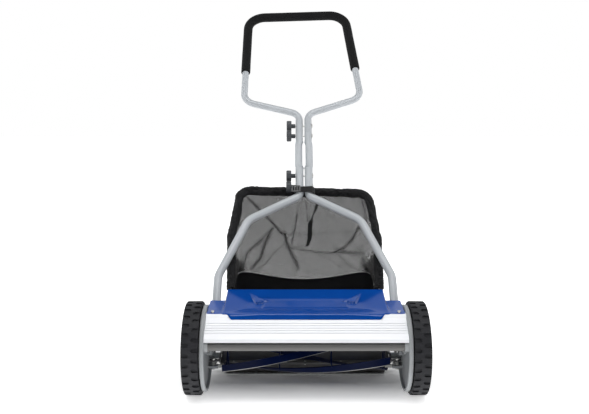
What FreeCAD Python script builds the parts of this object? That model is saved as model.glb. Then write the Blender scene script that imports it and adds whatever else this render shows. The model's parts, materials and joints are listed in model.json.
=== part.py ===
import FreeCAD, Part
import math
import os

# Push reel mower with a clip-on grass catcher, in millimetres.
# Working frame: X across the mower, Y to the rear, Z up from the lawn, and the wheel
# axle above the origin.  The finished model is moved so that its origin is the middle
# of the bottom of its bounding box.

Vec = FreeCAD.Vector
ALONG_X = Vec(1, 0, 0)
CENTRE = Vec(0, 0, 0)

# ---- chassis -------------------------------------------------------------------------
cutting_half_width = 231.0    # half the length of the reel blades
blade_to_plate = 48.0         # end of a blade to the outer face of a side plate
plate_face_x = cutting_half_width + blade_to_plate
plate_web = 5.0
plate_rim_depth = 12.0
plate_rim_width = 8.0
plate_radius = 117.5
plate_edge_round = 3.5
head_recess = 3.0             # depth of the recess for a bolt head
head_overhang = 3.0           # bolt head beyond its shank, all round

# ---- wheels --------------------------------------------------------------------------
wheel_radius = 127.0
tyre_thickness = 8.0
wheel_gap = 2.0               # side plate to wheel
wheel_width = 44.5
rim_wall = 7.0
wheel_web = 5.0
web_setback = 19.0            # inner edge of the wheel to its web
hub_radius = 16.0
axle_radius = 8.0
axle_head_radius = 14.0
axle_head_height = 4.0
running_gap = 0.05            # radial clearance of a turning fit
face_gap = 0.3                # side clearance of a turning fit
hub_shortfall = 11.5          # outer edge of the wheel to the end of the hub
nut_height = 6.0
nut_radius = 11.0
cap_radius = 21.0
cap_wall = 2.0
spoke_count = 6
spoke_thickness = 4.0
spoke_depth = 6.0

# ---- gear drive ----------------------------------------------------------------------
gear_module = 1.5
ring_teeth = 80
pinion_teeth = 16
gear_width = 12.0
ring_wall = 5.0
backlash = 0.15
pawl_width = 5.0
pawl_length = 9.0

# ---- reel ----------------------------------------------------------------------------
reel_radius = 68.0
reel_rear_offset = 45.0       # reel axis behind the wheel axle
reel_blades = 5
reel_twist = 102.0            # degrees from one end of a blade to the other
reel_start = 37.0             # degrees forward of the bottom at the left end
blade_thickness = 3.0
blade_depth = 21.0
blade_rake = 50.0             # degrees from the radius
shaft_radius = 8.0
spider_thickness = 3.0
spider_hub_radius = 15.0
spider_arm_width = 12.0
spider_inner_x = 72.0
spider_outer_x = cutting_half_width - 14.0
bearing_radius = 14.0
bearing_width = 11.0
bearing_boss_radius = 20.0
bearing_boss_depth = 18.0

# ---- bed knife -----------------------------------------------------------------------
knife_angle = 35.0            # degrees behind the bottom of the reel
knife_clearance = 0.4
knife_thickness = 3.5
knife_width = 19.0
carrier_sheet = 3.0
carrier_rise = 34.0
carrier_slope = 52.0          # degrees of the upper web from level
ear_x = cutting_half_width + 9.0
ear_sheet = 4.0
carrier_pivot = (84.0, 75.0)
carrier_pin_radius = 4.0
adjuster_place = (62.0, 70.0)
adjuster_radius = 3.0
adjuster_lug = 7.0            # thickness of the plate's lug
adjuster_lug_gap = 3.0        # carrier's ear to the lug
adjuster_tab = 3.0            # thickness of the carrier's tab
spring_radius = 5.5
spring_rise = 10.0
spring_clearance = 0.9        # room for the tab as the knife swings away
knife_screw_count = 5
knife_screw_radius = 3.0

# ---- shield, tie tube and rear rod ---------------------------------------------------
shield_top = (-48.5, 224.6)
shield_foot = (-104.0, 184.0)
shield_lip = 9.0
shield_sheet = 2.5
groove_count = 5
groove_pitch = 8.0
groove_start = 17.0
groove_depth = 1.0
groove_width = 1.6
flange_depth = 18.0
flange_gap = 1.3
port_radius = 4.5
screw_radius = 2.5
screw_head_radius = 4.8
screw_head_depth = 2.5
tie_tube_place = (-95.0, 161.0)
tie_tube_radius = 10.5
tie_tube_wall = 2.0
tie_boss_depth = 17.0
tie_boss_radius = 13.0
tie_bolt_radius = 4.0
tie_plug_length = 30.0
rear_rod_place = (104.0, 165.0)
rear_rod_radius = 4.0

# ---- top cover -----------------------------------------------------------------------
cover_sheet = 1.4
cover_rear = (80.0, 270.0)
cover_ridge = (25.0, 250.0)
cover_valley = (-5.0, 239.5)
cover_front = (-47.0, 233.0)
cover_lip = (-53.5, 222.6)
cover_setback = 9.0
cover_taper = 8.0
lip_setback = 23.0
cover_half_width = cutting_half_width - cover_setback
cover_rear_half_width = cover_half_width - cover_taper
lip_half_width = cover_half_width - lip_setback
wing_rear = (62.0, 243.0)
wing_front = (-40.0, 235.0)
wing_gap = 1.0
cheek_rise = 18.0             # height of the step from wing to hood at its rear end
wing_screw_x = plate_face_x - 29.0
wing_screw_setback = 8.0
wing_screw_radius = 2.5
cover_tab_width = 34.0
cover_tab_middle = -4.0
cover_tab_drop = 30.0

# ---- rear roller ---------------------------------------------------------------------
roller_radius = 20.0
roller_behind = 158.0
roller_half_width = cutting_half_width + 5.0
roller_count = 3
roller_wall = 4.0
roller_rod_radius = 5.0
roller_gap = 1.0
arm_pivot = (100.0, 120.0)
arm_sheet = 4.5
arm_half_width = 10.0
arm_slot_radius = 28.0
arm_end_radius = 13.5
arm_swing = 15.0              # degrees each way
arm_bolt_radius = 4.0
arm_boss_radius = 9.0

# ---- handle --------------------------------------------------------------------------
handle_angle = 47.0           # degrees from level at work
handle_swing = 28.0           # degrees from the lower stop to the upper stop
handle_pivot = (69.6, 216.3)
leg_tail = 36.0
leg_setback = 27.0            # leg's middle inward of the side plate's outer face
leg_x = plate_face_x - leg_setback
leg_radius = 12.0
tube_wall = 1.4
leg_bend_low = (leg_x, 107.0)
leg_bend_high = (171.0, 303.0)
neck_x = 14.0
leg_neck = 393.0
leg_end_run = 109.0           # straight end of a leg above its neck
splice_run = 110.0            # from the legs' ends to the loop's ends
loop_end_run = 122.0          # straight end of the loop below its neck
shoulder_rise = 67.0
corner_rise = 492.0
leg_top = leg_neck + leg_end_run
loop_foot = leg_top + splice_run
loop_neck = loop_foot + loop_end_run
loop_radius = 11.2
loop_shoulder = (201.0, loop_neck + shoulder_rise)
loop_corner = (180.0, loop_neck + corner_rise)
loop_lean = 2.6               # degrees that the loop leans to the left
bend_radius = 60.0
leg_neck_bend_radius = 24.0
loop_neck_bend_radius = 38.0
shoulder_bend_radius = 50.0
corner_bend_radius = 64.0
grip_radius = 16.2
grip_rise = 204.0
grip_foot = loop_neck + grip_rise
pivot_stud_radius = 5.0
pivot_bush_radius = 8.0
pivot_boss_radius = 13.0
stop_radius = 6.0
stop_distance = 25.0
stop_gap = 0.2
plug_length = 10.0

# ---- clamp joints in the handle ------------------------------------------------------
splice_x = 17.0               # middle of a splice tube where it is round
splice_radius = 12.0
splice_sheet = 1.3
splice_low_rise = 25.0        # splice tube's lower end above the legs' neck
splice_high_drop = 26.0       # its upper end below the loop's neck
splice_low = leg_neck + splice_low_rise
splice_high = loop_neck - splice_high_drop
splice_fade = 14.0
leg_bolt_rises = (35.0, 79.0)
loop_bolt_rises = (25.0, 69.0)
bolt_heights = tuple([leg_neck + rise for rise in leg_bolt_rises] + [loop_foot + rise for rise in loop_bolt_rises])
bolt_radius = 3.0
bolt_head_radius = 8.0
bolt_head_height = 3.5
knob_radius = 17.5
knob_thickness = 16.0
knob_stem = 13.0
knob_stem_radius = 7.0
knob_flutes = 8

# ---- grass catcher -------------------------------------------------------------------
rim_drop = 34.0               # catcher rim under the middle of the handle tubes
rim_wire_radius = 3.0
hem_radius = 11.0
rim_low = 66.0
rim_middle = 262.0
rim_top = 434.0
rim_insets = (36.0, 29.0, 50.0)        # rim's sides inward of the legs, from low to top
rim_low_x, rim_middle_x, rim_top_x = [leg_x - inset for inset in rim_insets]
rim_bend_radius = 40.0
catcher_slope = 30.0          # degrees of the direction in which it lifts off
bag_wall = 1.5
bag_floor = 88.0
bag_front = 150.0
bag_rear = 396.0
tray_front = 128.0
tray_rear = 255.0
hook_nose = 4.0               # wire in front of the rod's crown
hook_ease = 0.95

# ---- strap ---------------------------------------------------------------------------
strap_sheet = 1.6
strap_width = 20.0
strap_above_neck = 16.0       # where the tubes run straight, under the splice tubes
strap_spread = 3.6            # the tubes part at the neck's bend
buckle_overhang = 10.0
strap_clearance = 0.4
buckle_length = 28.0
pull_strip_width = 14.0
pull_strip_drop = 118.0
pull_strip_x = 26.0

# ---- worked-out places ---------------------------------------------------------------
web_inner_x = plate_face_x - plate_web
far_x = 2 * plate_face_x      # beyond everything on one side
rim_inner_x = plate_face_x - plate_rim_depth
wheel_inner_x = plate_face_x + wheel_gap
wheel_outer_x = wheel_inner_x + wheel_width
web_x = wheel_inner_x + web_setback
hub_end_x = wheel_outer_x - hub_shortfall
ring_radius = gear_module * ring_teeth / 2
pinion_radius = gear_module * pinion_teeth / 2
gear_distance = ring_radius - pinion_radius
axle = (0.0, wheel_radius)
reel_axis = (reel_rear_offset, wheel_radius - math.sqrt(gear_distance ** 2 - reel_rear_offset ** 2))
gear_x = wheel_inner_x + 2.0
roller_axis = (roller_behind, roller_radius)
splice_inner_low = leg_radius + 0.1
splice_inner_high = loop_radius + 0.1

nodes = {}


# ---- drawing helpers -----------------------------------------------------------------
def cylinder_x(radius, x_from, x_to, place):
    """Cylinder along X at place = (y, z)."""
    return Part.makeCylinder(radius, x_to - x_from, Vec(x_from, place[0], place[1]), ALONG_X)


def ring_x(outer, inner, x_from, x_to, place):
    return cylinder_x(outer, x_from, x_to, place).cut(cylinder_x(inner, x_from - 1, x_to + 1, place))


def cone_x(radius_from, radius_to, x_from, x_to, place):
    return Part.makeCone(radius_from, radius_to, x_to - x_from, Vec(x_from, place[0], place[1]), ALONG_X)


def box(x_from, x_to, y_from, y_to, z_from, z_to):
    return Part.makeBox(x_to - x_from, y_to - y_from, z_to - z_from, Vec(x_from, y_from, z_from))


def slab_x(outline, x_from, x_to):
    """Closed outline of (y, z) points, drawn out along X."""
    points = [Vec(x_from, y, z) for y, z in outline]
    face = Part.Face(Part.makePolygon(points + [points[0]]))
    return face.extrude(Vec(x_to - x_from, 0, 0))


def hexagon_x(radius, x_from, x_to, place):
    corners = [(place[0] + radius * math.cos(math.radians(60 * k)),
                place[1] + radius * math.sin(math.radians(60 * k))) for k in range(6)]
    return slab_x(corners, x_from, x_to)


def mirrored(shape):
    return shape.mirror(CENTRE, ALONG_X)


def both_sides(shape):
    return [shape, mirrored(shape)]


def offset_line(points, distance):
    """Open (y, z) polyline moved sideways, to the left of its direction."""
    moved = []
    count = len(points)
    for k in range(count):
        before = points[max(k - 1, 0)]
        here = points[k]
        after = points[min(k + 1, count - 1)]
        normals = []
        for start, end in ((before, here), (here, after)):
            run = math.hypot(end[0] - start[0], end[1] - start[1])
            if run > 1e-9:
                normals.append((-(end[1] - start[1]) / run, (end[0] - start[0]) / run))
        mean = (sum(n[0] for n in normals) / len(normals), sum(n[1] for n in normals) / len(normals))
        square = mean[0] ** 2 + mean[1] ** 2
        moved.append((here[0] + distance * mean[0] / square, here[1] + distance * mean[1] / square))
    return moved


def sheet_x(points, thickness, x_from, x_to):
    """Bent sheet whose section follows points, thickness to the left of their direction."""
    return slab_x(points + offset_line(points, thickness)[::-1], x_from, x_to)


def rounded_path(points, radii):
    """Wire of straight runs joined by tangent arcs of the given radii."""
    edges = []
    start = points[0]
    for before, corner, after, radius in zip(points, points[1:], points[2:], radii):
        back = (before - corner).normalize()
        onward = (after - corner).normalize()
        half_turn = back.getAngle(onward) / 2
        reach = radius / math.tan(half_turn)
        first = corner + back * reach
        last = corner + onward * reach
        middle_direction = (back + onward).normalize()
        middle = corner + middle_direction * (radius / math.sin(half_turn) - radius)
        edges.append(Part.LineSegment(start, first).toShape())
        edges.append(Part.Arc(first, middle, last).toShape())
        start = last
    edges.append(Part.LineSegment(start, points[-1]).toShape())
    return Part.Wire(edges)


def rod_along(points, radii, radius):
    path = rounded_path(points, radii)
    circle = Part.Wire(Part.makeCircle(radius, points[0], points[1] - points[0]))
    return path.makePipeShell([circle], True, False)


def tube_along(points, radii, radius, wall):
    return rod_along(points, radii, radius).cut(rod_along(points, radii, radius - wall))


def on_handle(shape):
    """Takes a shape drawn upright, with Z along the handle from its pivot, to the handle."""
    leaning = shape.copy()
    leaning.rotate(CENTRE, ALONG_X, handle_angle - 90)
    leaning.translate(Vec(0, handle_pivot[0], handle_pivot[1]))
    return leaning


def handle_point(x, along, above):
    """Point in the mower's frame, from one along the handle and above its middle plane."""
    lean = math.radians(handle_angle)
    return Vec(x, handle_pivot[0] + along * math.cos(lean) - above * math.sin(lean),
               handle_pivot[1] + along * math.sin(lean) + above * math.cos(lean))


def handle_side(angle, along, beside):
    """(y, z) of a point on the leg at a given handle angle."""
    lean = math.radians(angle)
    return (handle_pivot[0] + along * math.cos(lean) - beside * math.sin(lean),
            handle_pivot[1] + along * math.sin(lean) + beside * math.cos(lean))


def biggest(shape):
    return max(shape.Solids, key=lambda solid: solid.Volume)


def fused(first, others):
    return first.fuse(others).removeSplitter()


def node(name, shapes):
    nodes[name] = Part.makeCompound(shapes) if len(shapes) > 1 else shapes[0]


# ---- gears ---------------------------------------------------------------------------
def involute(angle):
    return math.tan(angle) - angle


def gear_outline(teeth, root, tip, half_tooth, first_angle, centre):
    """Closed (y, z) outline of an involute gear whose first tooth points at first_angle."""
    pitch = gear_module * teeth / 2
    base = pitch * math.cos(math.radians(20))
    start = max(base, root)
    radii = [start + (tip - start) * k / 3 for k in range(4)]
    at_pitch = involute(math.radians(20))
    flank = [(radius, half_tooth + at_pitch - involute(math.acos(min(1.0, base / radius))))
             for radius in radii]
    if root < base:
        flank.insert(0, (root, flank[0][1]))
    outline = []
    for k in range(teeth):
        middle = first_angle + 2 * math.pi * k / teeth
        sides = [(radius, middle - half) for radius, half in flank]
        sides += [(radius, middle + half) for radius, half in reversed(flank)]
        outline += [(centre[0] + radius * math.cos(angle), centre[1] + radius * math.sin(angle))
                    for radius, angle in sides]
    return outline


mesh_direction = math.atan2(reel_axis[1] - axle[1], reel_axis[0] - axle[0])


def ring_gear_space(x_from, x_to):
    """The space inside the wheel's ring of teeth."""
    half_space = math.pi / 2 / ring_teeth + backlash / 2 / ring_radius
    outline = gear_outline(ring_teeth, ring_radius - 0.8 * gear_module, ring_radius + 1.25 * gear_module,
                           half_space, mesh_direction, axle)
    return slab_x(outline, x_from, x_to)


def pinion_body(x_from, x_to):
    half_tooth = math.pi / 2 / pinion_teeth - backlash / 2 / pinion_radius
    outline = gear_outline(pinion_teeth, pinion_radius - 1.25 * gear_module, pinion_radius + gear_module,
                           half_tooth, mesh_direction, reel_axis)
    return slab_x(outline, x_from, x_to)


# ---- side plates ---------------------------------------------------------------------
stop_beside = leg_radius + stop_gap + stop_radius
lower_stop = handle_side(handle_angle, -stop_distance, stop_beside)
upper_stop = handle_side(handle_angle + handle_swing, -stop_distance, -stop_beside)
run = math.hypot(shield_foot[0] - shield_top[0], shield_foot[1] - shield_top[1])
shield_along = ((shield_foot[0] - shield_top[0]) / run, (shield_foot[1] - shield_top[1]) / run)
shield_back = (-shield_along[1], shield_along[0])
port_places = [tuple(shield_top[k] + shield_along[k] * at + shield_back[k] * (shield_sheet + port_radius - 0.8)
                     for k in range(2)) for at in (port_radius + 5, run - port_radius - 5)]
cover_screw = (cover_tab_middle, wing_front[1] - cover_tab_drop / 2 - 2)
arm_reach = (roller_axis[0] - arm_pivot[0], roller_axis[1] - arm_pivot[1])
arm_length = math.hypot(*arm_reach)
arm_direction = (arm_reach[0] / arm_length, arm_reach[1] / arm_length)
clamp_place = (arm_pivot[0] - arm_direction[0] * arm_slot_radius,
               arm_pivot[1] - arm_direction[1] * arm_slot_radius)
arm_x = rim_inner_x - 0.5 - arm_sheet
lug_inner_x = ear_x + ear_sheet + adjuster_lug_gap
adjuster_x = (lug_inner_x + web_inner_x) / 2
lug_top = adjuster_place[1] - spring_radius - spring_rise


def side_plate():
    """Cast disc with a deep rim, and a boss for everything that it carries."""
    disc = cylinder_x(plate_radius, rim_inner_x, plate_face_x, axle)
    rounded = [edge for edge in disc.Edges if edge.Closed and abs(edge.Length - 2 * math.pi * plate_radius) < 1]
    disc = disc.makeFillet(plate_edge_round, rounded)
    disc = disc.cut(cylinder_x(plate_radius - plate_rim_width, rim_inner_x - 1, web_inner_x, axle))
    into = web_inner_x + 1
    bosses = [
        cylinder_x(axle_head_radius + 4, rim_inner_x + 1, into, axle),
        cylinder_x(bearing_boss_radius, plate_face_x - bearing_boss_depth, into, reel_axis),
        cylinder_x(tie_boss_radius, plate_face_x - plate_web - tie_boss_depth, into, tie_tube_place),
        cylinder_x(pivot_boss_radius, leg_x + leg_radius + face_gap, plate_face_x, handle_pivot),
        cylinder_x(stop_radius, leg_x - leg_radius + 4, into, lower_stop),
        cylinder_x(stop_radius, leg_x - leg_radius + 4, into, upper_stop),
        cylinder_x(rear_rod_radius + 4, rim_inner_x + 3, plate_face_x, rear_rod_place),
        cylinder_x(arm_boss_radius, arm_x + arm_sheet + face_gap, into, arm_pivot),
        cylinder_x(arm_boss_radius, arm_x + arm_sheet + face_gap, into, clamp_place),
        cylinder_x(carrier_pin_radius + 5, ear_x + ear_sheet + face_gap, into, carrier_pivot),
        cylinder_x(screw_radius + 5, rim_inner_x - wing_gap, into, cover_screw),
    ]
    bosses.append(box(lug_inner_x, into, adjuster_place[0] - 8, adjuster_place[0] + 8,
                      lug_top - adjuster_lug, lug_top))
    plate = fused(disc, bosses)
    holes = [
        cylinder_x(axle_radius, 0, far_x, axle),
        cylinder_x(bearing_radius, plate_face_x - bearing_boss_depth - 1,
                   plate_face_x - bearing_boss_depth + bearing_width, reel_axis),
        cylinder_x(shaft_radius + 1, 0, far_x, reel_axis),
        cylinder_x(tie_bolt_radius, 0, far_x, tie_tube_place),
        cylinder_x(pivot_stud_radius, 0, far_x, handle_pivot),
        cylinder_x(rear_rod_radius, 0, plate_face_x - 2, rear_rod_place),
        cylinder_x(arm_bolt_radius, 0, far_x, arm_pivot),
        cylinder_x(arm_bolt_radius, 0, far_x, clamp_place),
        cylinder_x(carrier_pin_radius, 0, plate_face_x - 2, carrier_pivot),
        cylinder_x(screw_radius, 0, far_x, cover_screw),
        Part.makeCylinder(adjuster_radius, adjuster_lug + 2,
                          Vec(adjuster_x, adjuster_place[0], lug_top - adjuster_lug - 1)),
    ]
    holes += [cylinder_x(screw_radius, 0, far_x, place) for place in port_places]
    for place, radius in [(place, screw_head_radius) for place in port_places + [cover_screw]]:
        holes.append(cone_x(screw_radius, radius, plate_face_x - screw_head_depth, plate_face_x, place))
    holes.append(cylinder_x(tie_bolt_radius + head_overhang, plate_face_x - head_recess, far_x, tie_tube_place))
    holes.append(cylinder_x(pivot_stud_radius + head_overhang, plate_face_x - head_recess, far_x, handle_pivot))
    for place in (arm_pivot, clamp_place):
        holes.append(cylinder_x(arm_bolt_radius + head_overhang, plate_face_x - head_recess, far_x, place))
    return plate.cut(holes)


def flush_screw(place, x_tip):
    shank = cylinder_x(screw_radius, x_tip, plate_face_x - screw_head_depth, place)
    return shank.fuse(cone_x(screw_radius, screw_head_radius, plate_face_x - screw_head_depth,
                             plate_face_x, place))


def sunk_bolt(radius, place, x_tip):
    """Bolt whose low head lies in a recess of the side plate."""
    seat = plate_face_x - head_recess
    return fused(cylinder_x(radius, x_tip, seat, place),
                 [cylinder_x(radius + head_overhang, seat, plate_face_x, place)])


# ---- shield, tie tube, rear rod ------------------------------------------------------
def wing_point(behind_front, above):
    """Point on the underside of the wings, or above it."""
    slope = (wing_rear[1] - wing_front[1]) / (wing_rear[0] - wing_front[0])
    return (wing_front[0] + behind_front, wing_front[1] + slope * behind_front + above)


def wing_screw_hole():
    place = wing_point(wing_screw_setback, 0)
    return Part.makeCylinder(wing_screw_radius, 30, Vec(wing_screw_x, place[0], place[1] - 15))


def wing_screw():
    """Pan-head screw down through a wing into the shield's flange."""
    y, under = wing_point(wing_screw_setback, 0)
    seat = under + cover_sheet + 0.6
    shank = Part.makeCylinder(wing_screw_radius, 9, Vec(wing_screw_x, y, seat - 9))
    head = Part.makeCylinder(wing_screw_radius + 2.2, 2.4, Vec(wing_screw_x, y, seat))
    return fused(shank, [head])


def front_shield():
    """Ribbed extrusion with five grooves, a lip and two screw ports behind."""
    lip_end = (shield_foot[0] - 0.5, shield_foot[1] - shield_lip)
    line = [wing_point(flange_depth, -flange_gap), wing_point(0, -flange_gap), shield_top, shield_foot, lip_end]
    half = rim_inner_x
    shield = sheet_x(line, shield_sheet, -half, half)
    ports = [cylinder_x(port_radius, -half, half, place) for place in port_places]
    shield = fused(shield, ports)
    cuts = [cylinder_x(screw_radius, -half - 1, half + 1, place) for place in port_places]
    cuts += both_sides(wing_screw_hole())
    for k in range(groove_count):
        at = groove_start + groove_pitch * k
        middle = [shield_top[i] + shield_along[i] * at for i in range(2)]
        groove = [(middle[0] + shield_along[0] * s * groove_width / 2 + shield_back[0] * d,
                   middle[1] + shield_along[1] * s * groove_width / 2 + shield_back[1] * d)
                  for s, d in ((-1, -1), (1, -1), (1, groove_depth), (-1, groove_depth))]
        cuts.append(slab_x(groove, -half - 1, half + 1))
    return shield.cut(cuts)


def tie_tube():
    half = web_inner_x - tie_boss_depth
    tube = ring_x(tie_tube_radius, tie_tube_radius - tie_tube_wall, -half, half, tie_tube_place)
    plug = ring_x(tie_tube_radius - tie_tube_wall, tie_bolt_radius, half - tie_plug_length, half, tie_tube_place)
    return fused(tube, both_sides(plug))


# ---- top cover -----------------------------------------------------------------------
def top_cover():
    """Pressed hood: a raised middle with a ridge, and a lower wing at each end."""
    line = [cover_lip, cover_front, cover_valley, cover_ridge, cover_rear]
    hood = sheet_x(line, cover_sheet, -cover_half_width, cover_half_width)
    taper = cover_half_width - cover_rear_half_width
    trims = []
    for side in (1, -1):
        x_in = side * cover_rear_half_width
        x_out = side * (cover_half_width + 1)
        corner = Part.Face(Part.makePolygon([Vec(x_in, cover_rear[0] + 5, 0), Vec(x_out, cover_rear[0] + 5, 0),
                                             Vec(x_out, cover_ridge[0], 0),
                                             Vec(x_in + side * taper, cover_ridge[0], 0),
                                             Vec(x_in, cover_rear[0] + 5, 0)]))
        trims.append(corner.extrude(Vec(0, 0, far_x)))
        lip_end, hood_end = sorted((side * lip_half_width, side * (cover_half_width + 1)))
        trims.append(box(lip_end, hood_end, cover_lip[0] - 20, cover_front[0], 0, cover_front[1]))
    hood = hood.cut(trims)
    wing_line = [wing_front, wing_rear]
    wing_end = rim_inner_x - wing_gap
    wing = sheet_x(wing_line, cover_sheet, cover_half_width - cover_sheet, wing_end)
    cheek_top = offset_line(line, cover_sheet)
    cheek = slab_x([cover_front] + cheek_top[1:4] + [(wing_rear[0], wing_rear[1] + cheek_rise), wing_rear, wing_front],
                   cover_half_width - cover_sheet, cover_half_width)
    tab = box(wing_end - cover_sheet, wing_end, cover_tab_middle - cover_tab_width / 2,
              cover_tab_middle + cover_tab_width / 2, wing_front[1] - cover_tab_drop + 2, wing_front[1] + 3.5)
    tab = tab.cut(cylinder_x(screw_radius, 0, far_x, cover_screw))
    sides = []
    for shape in (wing.cut(wing_screw_hole()), cheek, tab):
        sides += both_sides(shape)
    return fused(hood, sides)


# ---- bed knife -----------------------------------------------------------------------
lean_back = math.radians(knife_angle)
edge_radius = reel_radius + knife_clearance
knife_edge = (reel_axis[0] + edge_radius * math.sin(lean_back), reel_axis[1] - edge_radius * math.cos(lean_back))
carrier_top_z = knife_edge[1] - knife_thickness
web_slope = math.radians(carrier_slope)
seat_front = (knife_edge[0] + 2, carrier_top_z)
seat_rear = (knife_edge[0] + knife_width + 1, carrier_top_z)
web_end = (seat_rear[0] + carrier_rise * math.cos(web_slope), seat_rear[1] + carrier_rise * math.sin(web_slope))
screw_xs = [(-1 + 2 * k / (knife_screw_count - 1)) * (cutting_half_width - 25) for k in range(knife_screw_count)]
screw_y = knife_edge[0] + 12


def knife_carrier():
    """Bent bar under the knife, with an ear and an adjuster tab at each end."""
    bar = sheet_x([web_end, seat_rear, seat_front], carrier_sheet, -ear_x, ear_x)
    under = offset_line([web_end, seat_rear, seat_front], carrier_sheet)
    ear_outline = [seat_front, under[2], under[1], under[0], web_end,
                   (carrier_pivot[0] + 9, carrier_pivot[1] + 9), (carrier_pivot[0] - 4, carrier_pivot[1] + 9),
                   (adjuster_place[0] - 7, adjuster_place[1] + 2), (adjuster_place[0] - 7, adjuster_place[1] - 4)]
    ear = slab_x(ear_outline, ear_x, ear_x + ear_sheet)
    tab = box(ear_x, web_inner_x - adjuster_lug_gap, adjuster_place[0] - 7, adjuster_place[0] + 7,
              adjuster_place[1] - adjuster_tab, adjuster_place[1])
    hole = Part.makeCylinder(adjuster_radius + 0.6, 20, Vec(adjuster_x, adjuster_place[0],
                                                          adjuster_place[1] - 10))
    ends = []
    for shape in (ear, tab):
        ends += both_sides(shape)
    carrier = fused(bar, ends)
    cuts = both_sides(cylinder_x(carrier_pin_radius + running_gap, ear_x - 5, ear_x + 10, carrier_pivot))
    cuts += both_sides(hole)
    cuts += [Part.makeCylinder(knife_screw_radius, 20, Vec(x, screw_y, carrier_top_z - 10)) for x in screw_xs]
    return carrier.cut(cuts)


def bed_knife():
    outline = [knife_edge, (knife_edge[0] + knife_width, knife_edge[1]),
               (knife_edge[0] + knife_width, carrier_top_z), (knife_edge[0] + 2, carrier_top_z)]
    knife = slab_x(outline, -cutting_half_width, cutting_half_width)
    return knife.cut([Part.makeCylinder(knife_screw_radius, 20, Vec(x, screw_y, carrier_top_z - 5))
                      for x in screw_xs])


def knife_screw(x):
    top = Part.makeCylinder(knife_screw_radius, knife_thickness + carrier_sheet,
                            Vec(x, screw_y, carrier_top_z - carrier_sheet))
    head = Part.makeCylinder(knife_screw_radius + 2, 2.5, Vec(x, screw_y, carrier_top_z - carrier_sheet - 2.5))
    return top.fuse(head)


def adjuster_bolt():
    foot = lug_top - adjuster_lug
    shank = Part.makeCylinder(adjuster_radius, adjuster_place[1] + 1 - foot + 5,
                              Vec(adjuster_x, adjuster_place[0], foot - 5))
    head = Part.makeCylinder(adjuster_radius + 3, 3.5, Vec(adjuster_x, adjuster_place[0], adjuster_place[1] + 1))
    nut = Part.makeCylinder(adjuster_radius + 2.5, 4, Vec(adjuster_x, adjuster_place[0], foot - 4))
    return fused(shank, [head, nut])


def adjuster_spring():
    height = adjuster_place[1] - adjuster_tab - spring_clearance - lug_top
    outer = Part.makeCylinder(spring_radius, height, Vec(adjuster_x, adjuster_place[0], lug_top))
    return outer.cut(Part.makeCylinder(adjuster_radius + 0.5, height + 2,
                                       Vec(adjuster_x, adjuster_place[0], lug_top - 1)))


# ---- reel ----------------------------------------------------------------------------
def reel_point(radius, degrees_forward, x):
    angle = math.radians(degrees_forward)
    return Vec(x, reel_axis[0] - radius * math.sin(angle), reel_axis[1] - radius * math.cos(angle))


def blade_angle(index, x):
    share = (x + cutting_half_width) / (2 * cutting_half_width)
    return reel_start + reel_twist * share + 360 * index / reel_blades


def blade_section(index, x):
    """Raked rectangle whose outer leading corner runs on the reel's cutting circle."""
    forward = blade_angle(index, x)
    rake = math.radians(blade_rake)
    edge = reel_point(reel_radius, forward, x)
    inward = (reel_point(reel_radius - 1, forward, x) - edge).normalize()
    trailing = ALONG_X.cross(inward).normalize()
    along = inward * math.cos(rake) + trailing * math.sin(rake)
    across = inward * math.sin(rake) - trailing * math.cos(rake)
    corners = [edge, edge + along * blade_depth, edge + along * blade_depth + across * blade_thickness,
               edge + along * 1.2 + across * blade_thickness]
    return Part.makePolygon(corners + [corners[0]])


def reel_blade(index):
    stations = 12
    sections = [blade_section(index, -cutting_half_width + 2 * cutting_half_width * k / stations)
                for k in range(stations + 1)]
    return Part.makeLoft(sections, True, False)


def spider(x, blades):
    """Star plate with an arm to the back of each blade."""
    outer = reel_radius - blade_depth * math.cos(math.radians(blade_rake)) + 4
    body = cylinder_x(spider_hub_radius, x - spider_thickness / 2, x + spider_thickness / 2, reel_axis)
    arms = []
    for index in range(reel_blades):
        arm = box(x - spider_thickness / 2, x + spider_thickness / 2,
                  reel_axis[0] - spider_arm_width / 2, reel_axis[0] + spider_arm_width / 2,
                  reel_axis[1] - outer, reel_axis[1])
        arm.rotate(Vec(x, reel_axis[0], reel_axis[1]), ALONG_X, -blade_angle(index, x) - 12)
        arms.append(biggest(arm.cut(blades[index])))
    star = fused(body, arms)
    return star.cut(cylinder_x(shaft_radius, x - 10, x + 10, reel_axis))


def reel_shaft():
    end = gear_x + gear_width + 2
    shaft = cylinder_x(shaft_radius, -end, end, reel_axis)
    slot = box(gear_x + 1, gear_x + gear_width - 1, reel_axis[0] - pawl_width / 2, reel_axis[0] + pawl_width / 2,
               reel_axis[1] - pawl_length / 2, reel_axis[1] + shaft_radius + 1)
    return shaft.cut(both_sides(slot))


def drive_pawl():
    return box(gear_x + 1.2, gear_x + gear_width - 1.2, reel_axis[0] - pawl_width / 2 + 0.1,
               reel_axis[0] + pawl_width / 2 - 0.1, reel_axis[1] - pawl_length / 2,
               reel_axis[1] + shaft_radius - 0.6)


def reel_bearing():
    start = plate_face_x - bearing_boss_depth
    return ring_x(bearing_radius, shaft_radius + running_gap, start, start + bearing_width, reel_axis)


# ---- wheels --------------------------------------------------------------------------
def wheel_profile_solid(profile):
    """Turned part about the axle: profile is closed (x, radius) points."""
    points = [Vec(x, axle[0], axle[1] + radius) for x, radius in profile]
    face = Part.Face(Part.makePolygon(points + [points[0]]))
    return face.revolve(Vec(0, axle[0], axle[1]), ALONG_X, 360)


rim_radius = wheel_radius - tyre_thickness


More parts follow.
